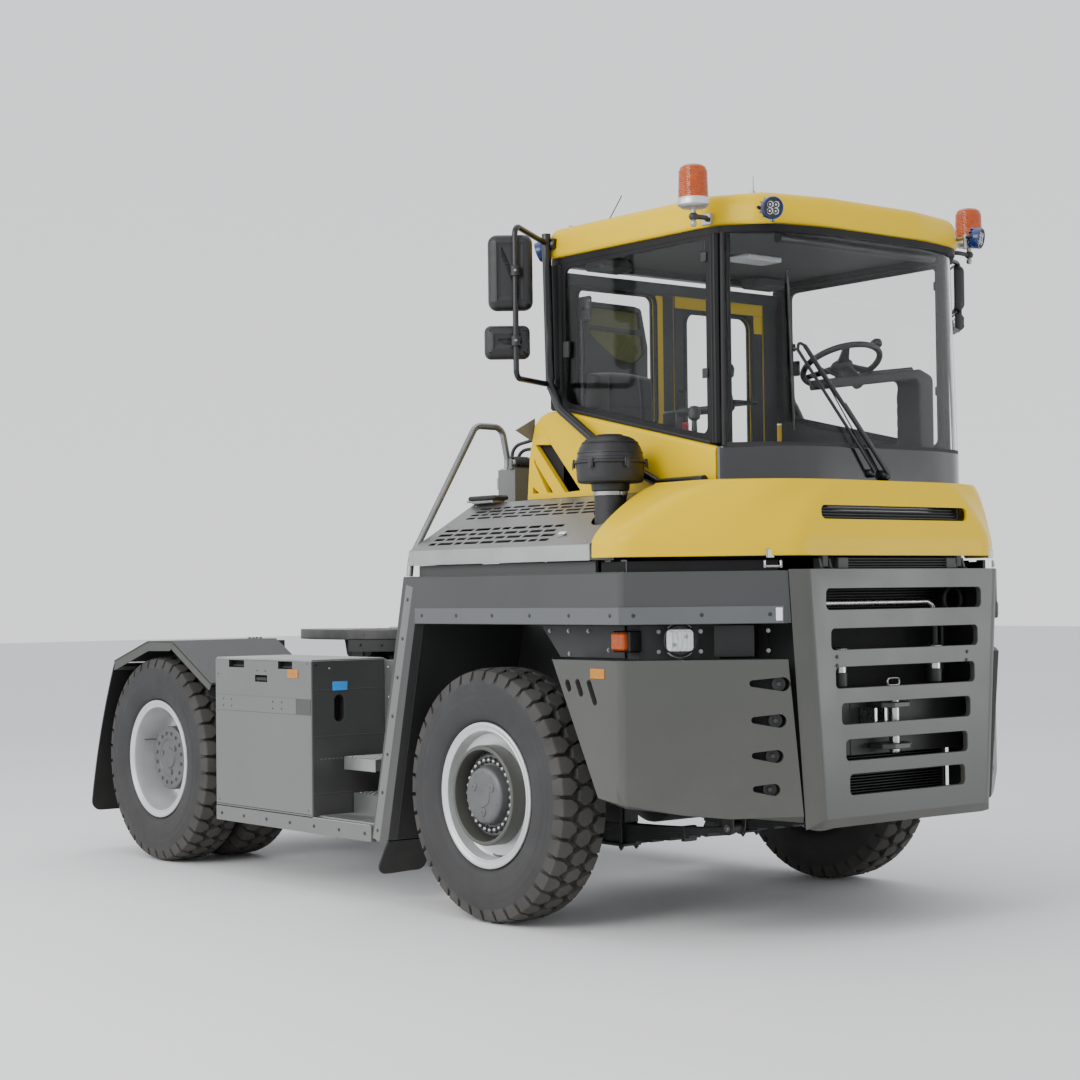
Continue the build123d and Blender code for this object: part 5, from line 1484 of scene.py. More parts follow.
def cushion(name, w, d, h, M, rad, crown, seams, mat, replaces=()):
    """A stuffed pad: rounded block with a crowned face, stitched grooves and a rounded edge."""
    na, nb = 40, 40
    g = Geo()
    top, bot = [], []
    for i in range(na + 1):
        for j in range(nb + 1):
            u, v = -1 + 2 * i / na, -1 + 2 * j / nb
            # pull the grid to a rounded outline
            uu = u * sqrt(max(0.0, 1 - 0.5 * v ** 2 * 0.28))
            vv = v * sqrt(max(0.0, 1 - 0.5 * u ** 2 * 0.28))
            x, y = uu * w / 2, vv * d / 2
            e = max(abs(u), abs(v))
            drop = 0.0
            if e > 0.80:
                t = (e - 0.80) / 0.20
                drop = h * 0.5 * (1 - sqrt(max(0.0, 1 - t * t)))
            up = crown * (1 - u * u) * (1 - v * v)
            dip = 0.0
            for axis, pos, depth in seams:
                c = (u if axis == "u" else v) - pos
                dip += depth * max(0.0, 1 - abs(c) / 0.045) ** 2
            k = max(0.0, 1 - max(0.0, (e - 0.80) / 0.2))
            top.append(M @ V(x, y, h / 2 - drop + up - dip * k))
            bot.append(M @ V(x, y, -h / 2 + drop))
    n = (na + 1) * (nb + 1)
    faces = []
    for i in range(na):
        for j in range(nb):
            a, b, c, e = i * (nb + 1) + j, (i + 1) * (nb + 1) + j, (i + 1) * (nb + 1) + j + 1, i * (nb + 1) + j + 1
            faces.append((a, b, c, e))
            faces.append((n + e, n + c, n + b, n + a))
    rim = [i * (nb + 1) for i in range(na + 1)] + [na * (nb + 1) + j for j in range(1, nb + 1)] \
        + [i * (nb + 1) + nb for i in range(na - 1, -1, -1)] + [j for j in range(nb - 1, 0, -1)]
    for k in range(len(rim)):
        a, b = rim[k], rim[(k + 1) % len(rim)]
        faces.append((b, a, n + a, n + b))
    g.add(top + bot, faces, mat)
    o = mesh_object(name, g)
    bm = bmesh.new()
    bm.from_mesh(o.data)
    bmesh.ops.remove_doubles(bm, verts=bm.verts, dist=2e-4)
    bmesh.ops.recalc_face_normals(bm, faces=bm.faces)
    bm.to_mesh(o.data)
    bm.free()
    shade(o, 70)
    settle(o, name, "chassis", replaces)
    return o


M = seat_m(2242)
cushion("seat_pad", 440, 470, 108, M, 60, 10, (("u", 0.52, 8), ("u", -0.52, 8), ("v", -0.2, 5), ("v", 0.4, 5)), SEAT, ("seat_cushions",))
MB = Matrix.Translation(seat_p(0, 300, 2420)) @ Matrix((SX, V(0, 0, 1), -SY)).transposed().to_4x4()
cushion("seat_back_pad", 410, 400, 92, MB, 60, 12, (("u", 0.5, 8), ("u", -0.5, 8), ("v", 0.1, 5)), SEAT)

g = Geo()
M = seat_m()
# back shell with an open head frame filled with mesh
outline = fillet2d([(-196, 2230), (196, 2230), (206, 2560), (208, 2760), (166, 2950), (-196, 2958), (-200, 2560)], [50, 50, 60, 90, 24, 30, 60], 6)
hole1 = fillet2d([(-178, 2846), (162, 2838), (152, 2926), (-178, 2936)], 12, 5)
hole2 = fillet2d([(-178, 2826), (172, 2816), (186, 2722), (120, 2672), (0, 2690), (-150, 2790)], [10, 12, 40, 60, 60, 20], 6)
g.plate(outline, [hole1, hole2], lambda p: M @ V(p[0], 342, p[1]), SY * 12, PLASTIC)
g.plate(outline, [hole1, hole2], lambda p: M @ V(p[0], 318, p[1]), SY * 10, PLASTIC)
for h in (hole1, hole2):
    g.loft([[M @ V(p[0], 336, p[1]) for p in h], [M @ V(p[0], 338, p[1]) for p in h]], MESH)
g.tube([M @ V(-196, 338, 2260), M @ V(-200, 338, 2620), M @ V(-196, 338, 2952), M @ V(166, 338, 2946), M @ V(206, 338, 2760), M @ V(200, 338, 2260)],
       13, PLASTIC, 40, 10)
# pan under the pad, adjuster knob, armrest with a joystick, suspension bellows
g.box(-212, 212, -225, 240, 2180, 2206, PLASTIC, 10, M)
g.box(-120, 120, 235, 330, 2190, 2290, PLASTIC, 12, M)
for a in (1,):
    g.box(a * 262, a * 322, -190, 190, 2408, 2446, TRIM, 16, M)
    g.box(a * 270, a * 300, 180, 290, 2330, 2440, PLASTIC, 10, M)
    g.tube([M @ V(a * 285, 250, 2340), M @ V(a * 285, 290, 2260), M @ V(a * 230, 290, 2230)], 14, PLASTIC, 20, 10)
g.lathe([(0, 26), (40, 22), (60, 12), (130, 11), (140, 24), (176, 27), (196, 18), (200, 0)], M @ V(292, -160, 2440), (0.05, 0, 1), PLASTIC, 20)
g.box(200, 360, -300, -130, 2436, 2452, PLASTIC, 6, M)
g.lathe([(0, 18), (14, 18), (18, 12), (18, 0)], M @ V(-212, 20, 2194), M.to_3x3() @ V(-1, 0, 0), PLASTIC, 16)
for k in range(7):
    z = 1862 + 44 * k
    g.lathe([(0, 150), (22, 168), (44, 150)], M @ V(0, 0, z), (0, 0, 1), RUBBER, 24)
g.box(-180, 180, -200, 200, 1806, 1862, TRIM, 8, M)
g.box(-170, 170, -190, 190, 2168, 2182, CHASSIS, 4, M)
# belt reel and its strap buckle
g.box(228, 262, 60, 130, 2180, 2330, PLASTIC, 8, M)
g.box(238, 252, 70, 112, 2330, 2372, SURROUND, 4, M)
make("seat_frame", g, "chassis", ("seat_base",), smooth=40)

# ------------------------------------------------------------------ dash, column and wheel
g = Geo()
WC = V(110, -2290, 2600)
WN = V(0.08, 0.42, 0.9).normalized()
a, b, _ = basis(WN, (1, 0, 0))
prof = [(15 * cos(t), 15 * sin(t)) for t in [2 * pi * k / 10 for k in range(10)]]
ring = [WC + WN * 13 + a * (186 * cos(t)) + b * (186 * sin(t)) for t in [2 * pi * k / 56 for k in range(56)]]
g.sweep(ring, prof, PLASTIC, WN, True)
for t0 in (0.0, 2.2, 4.1):
    d = a * cos(t0) + b * sin(t0)
    e = WN.cross(d)
    rr = []
    for q, wd, hh in ((30, 30, 4), (90, 22, 6), (172, 15, 10)):
        c = WC + d * q + WN * hh
        rr.append([c + e * wd + WN * 7, c - e * wd + WN * 7, c - e * wd - WN * 5, c + e * wd - WN * 5])
    g.loft(rr, PLASTIC)
g.lathe([(-24, 40), (-10, 52), (12, 54), (20, 48), (24, 30), (25, 0)], WC, WN, PLASTIC, 28)
# spinner knob
kp = WC + WN * 13 + (V(0.55, -0.8, 0.3) - WN * V(0.55, -0.8, 0.3).dot(WN)).normalized() * 186
g.lathe([(12, 9), (22, 9), (26, 24), (40, 29), (54, 26), (62, 14), (64, 0)], kp, WN, PLASTIC, 20)
# column shroud, stalks, sloping dash and its leg
g.tube([(100, -2404, 2516), (110, -2290, 2596)], 34, PLASTIC, 0, 18)
g.lathe([(-70, 40), (-48, 46), (-30, 46), (-16, 38)], WC, WN, PLASTIC, 20)
for q in (-1, 1):
    g.tube([WC - WN * 60 + a * (q * 40), WC - WN * 50 + a * (q * 150) - b * 20, WC - WN * 40 + a * (q * 190) - b * 24], 7, PLASTIC, 20, 8)
dash = fillet2d([(-185, 2468), (-185, 2515), (430, 2592), (521, 2560), (521, 1802), (419, 1802), (419, 2545)],
                [12, 14, 40, 34, 4, 4, 30], 5)
g.prism(dash, lambda p: V(p[0], -2353, p[1]), (0, -146, 0), TRIM, 7)
M = Matrix.Translation(V(250, -2440, 2566)) @ Matrix.Rotation(radians(-7.1), 4, "Y")
g.box(-150, 150, -45, 30, -8, 18, PLASTIC, 8, M)
for k in range(3):
    c = M @ V(-96 + 96 * k, 30, 4)
    g.lathe([(0, 15), (2, 15), (3, 13), (1.5, 12), (1.5, 0)], c, V(0, 1, 0), CHASSIS, 20)
g.box(428, 512, -2355, -2344, 2200, 2500, PLASTIC, 4)
for k in range(10):
    g.box(434 + 38 * (k % 2), 468 + 38 * (k % 2), -2346, -2337, 2212 + 56 * (k // 2), 2256 + 56 * (k // 2), CHASSIS, 3)
# pedals on their floor brackets
for x in (40, 150):
    M2 = Matrix.Translation(V(x, -2300, 1870)) @ Matrix.Rotation(radians(50), 4, "X")
    g.box(-34, 34, -50, 50, -5, 5, RUBBER, 3, M2)
    g.tube([(x, -2380, 1804), (x, -2350, 1880), (x, -2302, 1868)], 8, CHASSIS, 20, 8)
make("steering_set", g, "chassis", ("steering_column", "dashboard"), smooth=42)

# side console and wall trim inside
g = Geo()
for s in (-1, 1):
    g.box(s * 730, s * 762, -2360, -1260, 1990, 2200, TRIM, 8)
    g.prism([Vector((-1262, 2196)), Vector((-2340, 2196)), Vector((-2340, 2206)), Vector((-1290, 2440)), Vector((-1262, 2440))],
            lambda p, s=s: V(s * 762, p[0], p[1]), (s * -14, 0, 0), TRIM)
# sun blind roll and lamp under the roof, speaker pods
g.tube([(-520, -2500, 3128), (520, -2500, 3128)], 24, PLASTIC, 0, 14)
g.box(-120, 120, -1900, -1760, 3150, 3176, WHITE, 6)
g.box(-640, -420, -1420, -1290, 3116, 3174, LINER, 14)
g.box(420, 640, -1420, -1290, 3116, 3174, LINER, 14)
for k in range(5):
    g.box(-560 + 40 * k, -536 + 40 * k, -1290, -1284, 3124, 3164, PLASTIC, 3)
# fire bottle and tablet on the right post
g.box(-716, -690, -1420, -1330, 2860, 2980, PLASTIC, 8)
g.tube([(-735, -1375, 2920), (-700, -1375, 2920)], 9, CHASSIS, 0, 10)
# right-hand console with its lever
g.box(-716, -590, -2340, -1990, 1806, 2210, TRIM, 20)
g.lathe([(0, 40), (10, 34), (16, 16), (120, 12), (130, 26), (165, 30), (186, 20), (190, 0)], (-650, -2080, 2210), (0, 0, 1), PLASTIC, 18)
make("cab_trim", g, "chassis", smooth=40)

# ------------------------------------------------------------------ wiper
g = Geo()
g.lathe([(0, 26), (20, 26), (28, 18), (34, 18), (38, 10), (38, 0)], (-6, -2640, 2066), (0, -1, 0), PLASTIC, 20)
g.lathe([(0, 20), (18, 20), (26, 12), (28, 0)], (-92, -2640, 2074), (0, -1, 0), PLASTIC, 20)
A1, A2 = V(-6, -2674, 2070), V(-92, -2670, 2078)
E1, E2 = V(-488, -2626, 2632), V(-524, -2618, 2612)
g.tube([A1, A1.lerp(E1, 0.2) + V(0, -4, 0), E1], 10, BLACK, 60, 8)
g.tube([A1 + V(14, 2, 6), A1.lerp(E1, 0.55) + V(14, 0, 6)], 5.5, BLACK, 0, 8)
g.tube([A2, A2.lerp(E2, 0.2) + V(0, -4, 0), E2], 7.5, BLACK, 60, 8)
g.tube([E1, V(-512, -2612, 2648), E2], 7, BLACK, 14, 8)
g.box(-546, -516, -2600, -2586, 2606, 2640, PLASTIC, 3)
g.tube([V(-524, -2616, 2614), V(-534, -2594, 2622)], 6, BLACK, 0, 8)
B0, B1 = V(-545, -2583, 2968), V(-533, -2597, 2258)
for f0, f1 in ((0.04, 0.34), (0.30, 0.70), (0.66, 0.96)):
    p, q = B0.lerp(B1, f0), B0.lerp(B1, f1)
    g.tube([p, p.lerp(q, 0.25) + V(-5, -8, 0), p.lerp(q, 0.75) + V(-5, -8, 0), q], 4, BLACK, 20, 8)
g.tube([B0 + V(3, 5, 0), B1 + V(3, 5, 0)], 5.5, RUBBER, 0, 8)
g.tube([(-60, -2650, 2090), (-180, -2648, 2230), (-330, -2640, 2430), (-470, -2626, 2600)], 3.2, HOSE, 60, 6)
make("wiper", g, "chassis", smooth=50)


# ------------------------------------------------------------------ mirrors
def mirror_head(g, c, wdir, w, h, depth, face):
    """Rounded black housing with a dished back and a mirror in its front."""
    wd = Vector(wdir).normalized()
    nn = V(wd.y, -wd.x, 0)
    if nn.dot(Vector(face)) < 0:
        nn = -nn
    c = Vector(c)
    P = lambda a, b, n: c + wd * a + V(0, 0, b) + nn * n
    r = min(w, h) * 0.20
    o = rrect(0, 0, w, h, r, 6)
    def lv(k, n):
        return [P(p.x, p.y, n) for p in inset2d([Vector(q) for q in o], k)]
    g.loft([lv(10, depth / 2), lv(3, depth / 2 - 1), lv(0, depth / 2 - 6), lv(0, depth / 2 - 20), lv(4, -depth / 2 + 24), lv(12, -depth / 2 + 10),
            lv(24, -depth / 2 + 3), lv(w * 0.2, -depth / 2), lv(w * 0.23, -depth / 2 + 5), lv(w * 0.30, -depth / 2 + 7)], PLASTIC, False, True)
    g.loft([lv(10, depth / 2), lv(13, depth / 2 - 5), lv(14, depth / 2 - 5)], PLASTIC, False, False)
    g.loft([lv(13, depth / 2 - 5), lv(40, depth / 2 - 4)], MIRROR, False, True)
    return P


g = Geo()
g.tube([(-830, -1246, 3246), (-860, -1246, 3250), (-1140, -1385, 3282), (-1140, -1385, 2560), (-860, -1250, 2560), (-800, -1250, 2560)], 14, BLACK, 40, 14)
wd = V(0.78, -0.63, 0)
for w0, w1, z0, z1 in ((-130, 82, 2885, 3245), (-150, 66, 2655, 2815)):
    n0 = V(0.63, 0.78, 0).normalized()
    c = V(-1140, -1385, (z0 + z1) / 2) + wd * ((w0 + w1) / 2) + n0 * 46
    mirror_head(g, c, wd, w1 - w0, z1 - z0, 68, (0.63, 0.78, 0))
    # clamp on the arm
    zc = (z0 + z1) / 2
    g.lathe([(-26, 20), (-22, 24), (22, 24), (26, 20)], (-1140, -1385, zc), (0, 0, 1), PLASTIC, 18)
    g.lathe([(0, 26), (22, 30), (26, 22)], V(-1140, -1385, zc) - n0 * 6, n0, PLASTIC, 18)
    g.bolt(V(-1140, -1385, zc) - n0 * 20, -n0, 7, 6, ZINC)
for z in (3240, 2560):
    g.box(-824, -786, -1284, -1216, z - 26, z + 26, BLACK, 5)
    for dy in (-22, 22):
        g.bolt((-824, -1250 + dy, z), (-1, 0, 0), 7, 6, ZINC)
# left mirror before the front post
g.tube([(796, -2362, 3168), (800, -2360, 3168), (960, -2300, 3168), (960, -2300, 2830), (800, -2360, 2830), (788, -2364, 2830)], 12, BLACK, 40, 12)
mirror_head(g, (985, -2262, 3044), (0.64, 0.77, 0), 190, 232, 58, (-0.77, 0.64, 0))
mirror_head(g, (978, -2270, 2872), (0.64, 0.77, 0), 150, 96, 50, (-0.77, 0.64, 0))
for z in (3160, 2830):
    g.box(784, 806, -2392, -2334, z - 22, z + 22, BLACK, 4)
for z in (3044, 2872):
    g.lathe([(-22, 18), (-18, 22), (18, 22), (22, 18)], (960, -2300, z), (0, 0, 1), PLASTIC, 16)
make("mirror_set", g, "chassis", ("mirrors",), smooth=40)

# ------------------------------------------------------------------ beacons and work lamps
g, ga = Geo(), Geo()
for s in (-1, 1):
    c = V(s * 930, -2390, 0)
    ga.lathe([(3276, 62), (3280, 66), (3396, 62.5), (3412, 56), (3422, 42), (3427, 20), (3428, 0)], c, (0, 0, 1), AMBER, 40)
    for k in range(14):
        z = 3286 + 8 * k
        ga.lathe([(z, 66 - 0.03 * k * 8), (z + 2, 67.2 - 0.03 * k * 8), (z + 4, 66 - 0.03 * k * 8)], c, (0, 0, 1), AMBER, 40)
    g.lathe([(3233, 0), (3233, 52), (3240, 62), (3246, 70), (3262, 71), (3270, 68), (3277, 66), (3278, 60)], c, (0, 0, 1), ALU, 40)
    # ball stalk and its arm from the roof's side
    g.lathe([(3150, 0), (3152, 9), (3160, 14), (3170, 14), (3178, 9), (3182, 11), (3234, 12)], c, (0, 0, 1), ZINC, 18)
    g.lathe([(-16, 12), (-10, 19), (0, 22), (10, 19), (16, 12)], c + V(0, 0, 3196), (0, 0, 1), CHASSIS, 18)
    g.tube([c + V(0, 0, 3196), V(s * 852, -2386, 3200), V(s * 790, -2330, 3204)], 11, CHASSIS, 30, 12)
    g.box(s * 786, s * 800, -2362, -2302, 3180, 3232, ZINC, 3)
make("beacon_lenses", ga, "chassis", ("roof_beacons",), smooth=30)
make("beacon_feet", g, "chassis", smooth=40)

g = Geo()


def work_lamp(g, c, n, r=50.0):
    """Round blue lamp with four small reflectors on a dark face."""
    n = Vector(n).normalized()
    c = Vector(c)
    g.lathe([(-44, 0), (-44, 20), (-40, 30), (-22, 44), (-20, 46), (-14, 47), (-8, 50), (14, 50), (17, 48), (17, 44), (12, 42)], c, n, BLUE, 36)
    for k in range(12):
        t = 2 * pi * k / 12
        a, b, _ = basis(n)
        g.box(-2, 2, 30, 48, -38, -12, BLUE, 1, Matrix.Translation(c) @ Matrix((a * cos(t) + b * sin(t), n.cross(a * cos(t) + b * sin(t)), n)).transposed().to_4x4() @ Matrix.Rotation(radians(90), 4, "Z"))
    g.lathe([(12, 42), (12, 0)], c, n, CHASSIS, 36)
    a, b, _ = basis(n)
    for k in range(4):
        t = pi / 4 + pi / 2 * k
        p = c + a * (20 * cos(t)) + b * (20 * sin(t)) + n * 12.5
        g.lathe([(0, 15), (2, 15), (-5, 6), (-6, 0)], p, n, CHROME, 18)
        g.lathe([(-4, 5), (0, 4), (1, 0)], p, n, WHITE, 12)
    # bracket
    g.tube([c - n * 20 + b * 52, c - n * 30 + b * 54, c - n * 60 + b * 20 - V(0, 0, 10)], 7, CHASSIS, 12, 10)


for s in (-1, 1):
    work_lamp(g, (s * 696, -2640, 3222), (s * 0.35, -0.93, -0.18))
    g.tube([(s * 664, -2596, 3225), (s * 660, -2540, 3225)], 9, ZINC, 0, 12)
    g.lathe([(0, 12), (40, 12), (46, 16), (60, 16), (66, 8), (74, 6), (76, 0)], (s * 652, -2600, 3172), (0, 0, 1), ZINC, 14)
    work_lamp(g, (s * 768, -1122, 3226), (s * 0.55, 0.8, -0.3))
    g.tube([(s * 768, -1150, 3226), (s * 760, -1190, 3226)], 9, CHASSIS, 0, 12)
make("work_lamp_set", g, "chassis", ("work_lamps",), smooth=40)

# antennas and roof screws
g = Geo()
g.lathe([(0, 16), (8, 15), (12, 6), (20, 4)], (-700, -1560, 3316), (0, 0, 1), RUBBER, 16)
g.tube([(-700, -1560, 3330), (-712, -1640, 3398), (-716, -1668, 3424)], 2.4, BLACK, 0, 6)
g.lathe([(0, 15), (6, 15), (10, 8), (26, 7), (30, 3), (94, 2), (96, 0)], (-590, -2420, 3316), (0, 0, 1), ZINC, 14)
for x, y in ((-720, -1290), (720, -1290), (560, -2430), (-560, -2440)):
    g.lathe([(0, 14), (4, 14), (6, 9), (16, 9), (18, 5), (18, 0)], (x, y, 3318), (0, 0, 1), ZINC, 12)
make("roof_fittings", g, "chassis", smooth=40)


# ------------------------------------------------------------------ right locker
POCKETS = ((905, 1065, 1160, 1198), (412, 551, 1160, 1198), (666, 789, 1086, 1121))


def inward(v):
    """Outer faces drawn back so that strips and screw heads end at the CAD's outline."""
    return (v.x - (6 if v.x > 0 else -6) if abs(v.x) > 1255 else v.x, v.y, v.z)


def locker_paint(c, n):
    if c.x > -781:
        return 4
    # grip pockets and a recess by the front wall take the shadow black: painted shade
    if -1263.4 < c.x < -1215 and any(y0 - 2 < c.y < y1 + 2 and z0 - 2 < c.z < z1 + 2 for y0, y1, z0, z1 in POCKETS):
        return 2
    if 226 < c.y < 290 and -1125 < c.x < -1055:
        return 2
    if n.z > 0.9 and c.z > 1200:
        return 3
    # front wall in the shaded olive copy: painted shade on the side turned from the light
    return 1 if n.y < -0.7 else 0


softened("side_locker_right", "chassis", 3, GREY, paint=locker_paint, mats=(OLIVE_SHADED, SHADE_BLACK, GALV, CHASSIS), move=inward)
g = Geo()
g.box(-1268, -1262, 371, 1196, 921, 1005, GREY, 1.5)
g.box(-1266.5, -1262, 232, 370, 921, 1005, OLIVE, 1.5)
for y in (1120, 1034, 602, 512):
    for z in (946, 982):
        g.dome((-1268, y, z), (-1, 0, 0), 5.5, 1.8, CHASSIS, 10)
for y, z in ((766, 1145), (683, 1145), (1180, 1120), (1175, 420), (262, 420), (262, 1190)):
    g.dome((-1264, y, z), (-1, 0, 0), 5, 1.8, CHASSIS, 10)
# latch: paddle in its pocket, and a bar across each grip
g.box(-1262, -1240, 676, 779, 1090, 1112, BLACK, 3)
for y0, y1 in ((905, 1065), (412, 551)):
    g.box(-1240, -1228, y0 + 2, y1 - 2, 1162, 1174, CHASSIS, 2)
# blank reflector, lower door seam
g.box(-1268.5, -1263, 350, 454, 1113, 1160, REFLECT, 1.4)
g.box(-1264.8, -1263.2, 234, 1213, 398, 401, SHADE_BLACK, 0.4)
# front wall: blank plate, pressed lines, a row of short weld marks, rubber plug
g.box(-1131, -1039, 221.6, 225.2, 1047, 1094, LABEL_BLUE, 1)
for z in (1053, 809, 509):
    g.box(-1252, -800, 222.9, 225.4, z - 2, z + 2, OLIVE, 0.9)
for k in range(6):
    g.box(-1211 + 25 * k, -1198 + 25 * k, 223.5, 225.2, 687, 692, GREY, 0.5)
g.dome((-1238, 225, 1188), (0, -1, 0), 9, 6, RUBBER, 12)
g.dome((-1150, 225, 1164), (0, -1, 0), 6, 4, ZINC, 10)
make("locker_trim", g, "chassis")


def grating(g, x0, x1, y0, y1, z, mat, bar=26, tie=60, h=8):
    """Open walkway grid: bearing bars across, ties along, and a rim."""
    n = int((y1 - y0) // bar)
    for k in range(n + 1):
        y = y0 + (y1 - y0 - 4) * k / n
        g.box(x0, x1, y, y + 4, z, z + h, mat, 0.8)
    m = int((x1 - x0) // tie)
    for k in range(m + 1):
        x = x0 + (x1 - x0 - 5) * k / m
        g.box(x, x + 5, y0, y1, z, z + h - 1.5, mat, 0.8)
    for xa, xb, ya, yb in ((x0 - 4, x0, y0, y1), (x1, x1 + 4, y0, y1), (x0, x1, y0 - 4, y0), (x0, x1, y1, y1 + 4)):
        g.box(xa, xb, ya, yb, z - 1, z + h + 0.5, mat, 0.8)


g = Geo()
grating(g, -1254, -800, 236, 1208, 1204, GALV)
make("locker_top_grating", g, "chassis")

# ------------------------------------------------------------------ left tank
softened("fuel_tank_left", "chassis", 6, GREY, seg=3, paint=lambda c, n: 1 if c.x < 782 else 0, mats=(CHASSIS,), move=inward)
g = Geo()
ring = fillet2d([(782, 391), (1265, 391), (1265, 1206), (782, 1206)], 70, 8)
for y in (450, 960):
    g.sweep([V(p.x, y, p.y) for p in ring], [(-2.5, -26), (2.5, -26), (2.5, 26), (-2.5, 26)], STEEL, (0, 1, 0), True)
    g.box(1120, 1180, y - 14, y + 14, 1206, 1222, ZINC, 3)
    g.bolt((1135, y, 1221), (0, 0, 1), 8, 6)
g.lathe([(0, 62), (10, 62), (12, 54), (14, 50), (40, 50), (46, 46), (48, 38), (48, 0)], (1120, 1110, 1204), (0, 0, 1), BLACK, 32)
for k in range(12):
    t = 2 * pi * k / 12
    g.box(-4, 4, -3, 3, 14, 40, BLACK, 1.2, Matrix.Translation(V(1120 + 51 * cos(t), 1110 + 51 * sin(t), 1204)))
g.lathe([(0, 24), (6, 24), (8, 18), (16, 18), (18, 12), (18, 0)], (1000, 700, 391), (0, 0, -1), ZINC, 16)
# end seams, level glass
for y in (229, 1216):
    rr = fillet2d([(800, 409), (1248, 409), (1248, 1188), (800, 1188)], 60, 8)
    g.sweep([V(p.x, y, p.y) for p in rr], [(-3, -5), (3, -5), (3, 5), (-3, 5)], GREY, (0, 1, 0), True)
g.tube([(1240, 300, 560), (1266, 300, 570), (1266, 300, 1010), (1240, 300, 1020)], 3.5, CLEAR, 20, 10)
make("tank_fittings", g, "chassis")
g = Geo()
grating(g, 860, 1190, 250, 430, 1204, GALV)
grating(g, 860, 1190, 490, 920, 1204, GALV)
make("tank_top_grating", g, "chassis")


# ------------------------------------------------------------------ steps
def step_paint(c, n):
    if abs(c.x) > 1228 and c.z < 392 and (abs(n.x) > 0.7 or c.z < 380):
        return 2
    if c.z < 392 or 664 < c.z < 704:
        return 1
    return 0


# steps in the shaded olive copy: painted shade in the recess
softened("access_steps", "chassis", 2, OLIVE_SHADED, paint=step_paint, mats=(GALV, GREY), move=inward)
g, gd = Geo(), Geo()
for s in (-1, 1):
    xa, xb = sorted((s * 1016, s * 1222))
    grating(g, xa, xb, -294, 216, 386, GALV, 24, 52, 10)
    # bright edge of the floor, lower step box, tread with its deep lip
    g.box(s * 1226, s * 1262, -300, 222, 386, 391, STEEL, 1)
    g.box(s * 1011, s * 804, -250, 218, 389, 503, GALV, 4)
    g.box(s * 1096, s * 1104, -124, 164, 634, 702, GALV, 2.5)
    for y in (-124, 158):
        g.box(s * 806, s * 1100, y, y + 6, 640, 702, GALV, 2)
    for i in range(8):
        for j in range(8):
            g.lathe([(-0.5, 8), (2.5, 7), (4, 5), (2.5, 3.2), (-0.5, 3)], (s * (836 + 34 * i), -104 + 35 * j, 700), (0, 0, 1), GALV, 8)
    for i in range(5):
        for j in range(12):
            g.lathe([(-0.5, 8), (2.5, 7), (4, 5), (2.5, 3.2), (-0.5, 3)], (s * (844 + 36 * i), -230 + 37 * j, 503), (0, 0, 1), GALV, 8)
    # shadow-black panel in the recess between them, painted shade, with hoses
    gd.box(s * 806, s * 812, -122, 216, 505, 662, SHADE_BLACK, 2)
    gd.tube([(s * 830, 214, 610), (s * 842, 120, 575), (s * 834, 20, 600), (s * 842, -110, 560)], 9, HOSE, 60, 10)
    gd.tube([(s * 824, 214, 560), (s * 836, 100, 545), (s * 826, -110, 590)], 7, SURROUND, 60, 10)
    gd.tube([(s * 826, 214, 640), (s * 832, 60, 632), (s * 826, -110, 640)], 10, HOSE, 60, 10)
    for z in (545, 600, 640):
        gd.box(s * 812, s * 852, 96, 104, z - 14, z + 12, CHASSIS, 2)
    # bolts in the inner wall
    for y in (-380, -160, 190):
        for z in (760, 1000, 1160):
            gd.dome((s * 800, y, z), (s, 0, 0), 8, 4, ZINC, 10)
make("step_treads", g, "chassis")
make("step_recess", gd, "chassis")

# ------------------------------------------------------------------ rear fenders and flaps
# fender skin in the shaded olive copy, painted shade on its top; its lip and edges keep the lighter olive
softened("rear_fenders", "chassis", 3, OLIVE_SHADED,
         rounds=((lambda m, d: abs(d.x) > 0.9 and 1650 < m.y < 2100, 30, 5),))
g = Geo()
for s in (-1, 1):
    lip = fillet2d([(1700, 1293), (2008, 1292), (2432, 1170), (2419, 1112), (2002, 1234), (1730, 1238)], [4, 150, 26, 46, 150, 40], 7)
    g.prism(lip, lambda p, s=s: V(s * 1262, p[0], p[1]), (s * -5, 0, 0), OLIVE, 1.2)
    g.prism(fillet2d([(1262, 1064), (1706, 1296), (1728, 1250), (1290, 1020)], [6, 20, 20, 14], 4), lambda p, s=s: V(s * 1262, p[0], p[1]),
            (s * -5, 0, 0), OLIVE, 1.2)
    # rolled rear edge, stiffening ribs below, bolts over the bracket
    g.tube([(s * 1256, 2430, 1166), (s * 566, 2430, 1166)], 8, OLIVE, 0, 12)
    for x in (700, 1000):
        g.box(s * x, s * (x + 6), 1740, 1990, 1262, 1284, OLIVE, 1.5)
    for y in (1838, 1882):
        for x in (590, 640):
            g.bolt((s * x, y, 1296), (0, 0, 1), 9, 6, OLIVE)
    for y in (1838, 1882):
        g.bolt((s * 500, y, 1282), (0, 0, 1), 9, 6, CHASSIS)
make("fender_edges", g, "chassis")


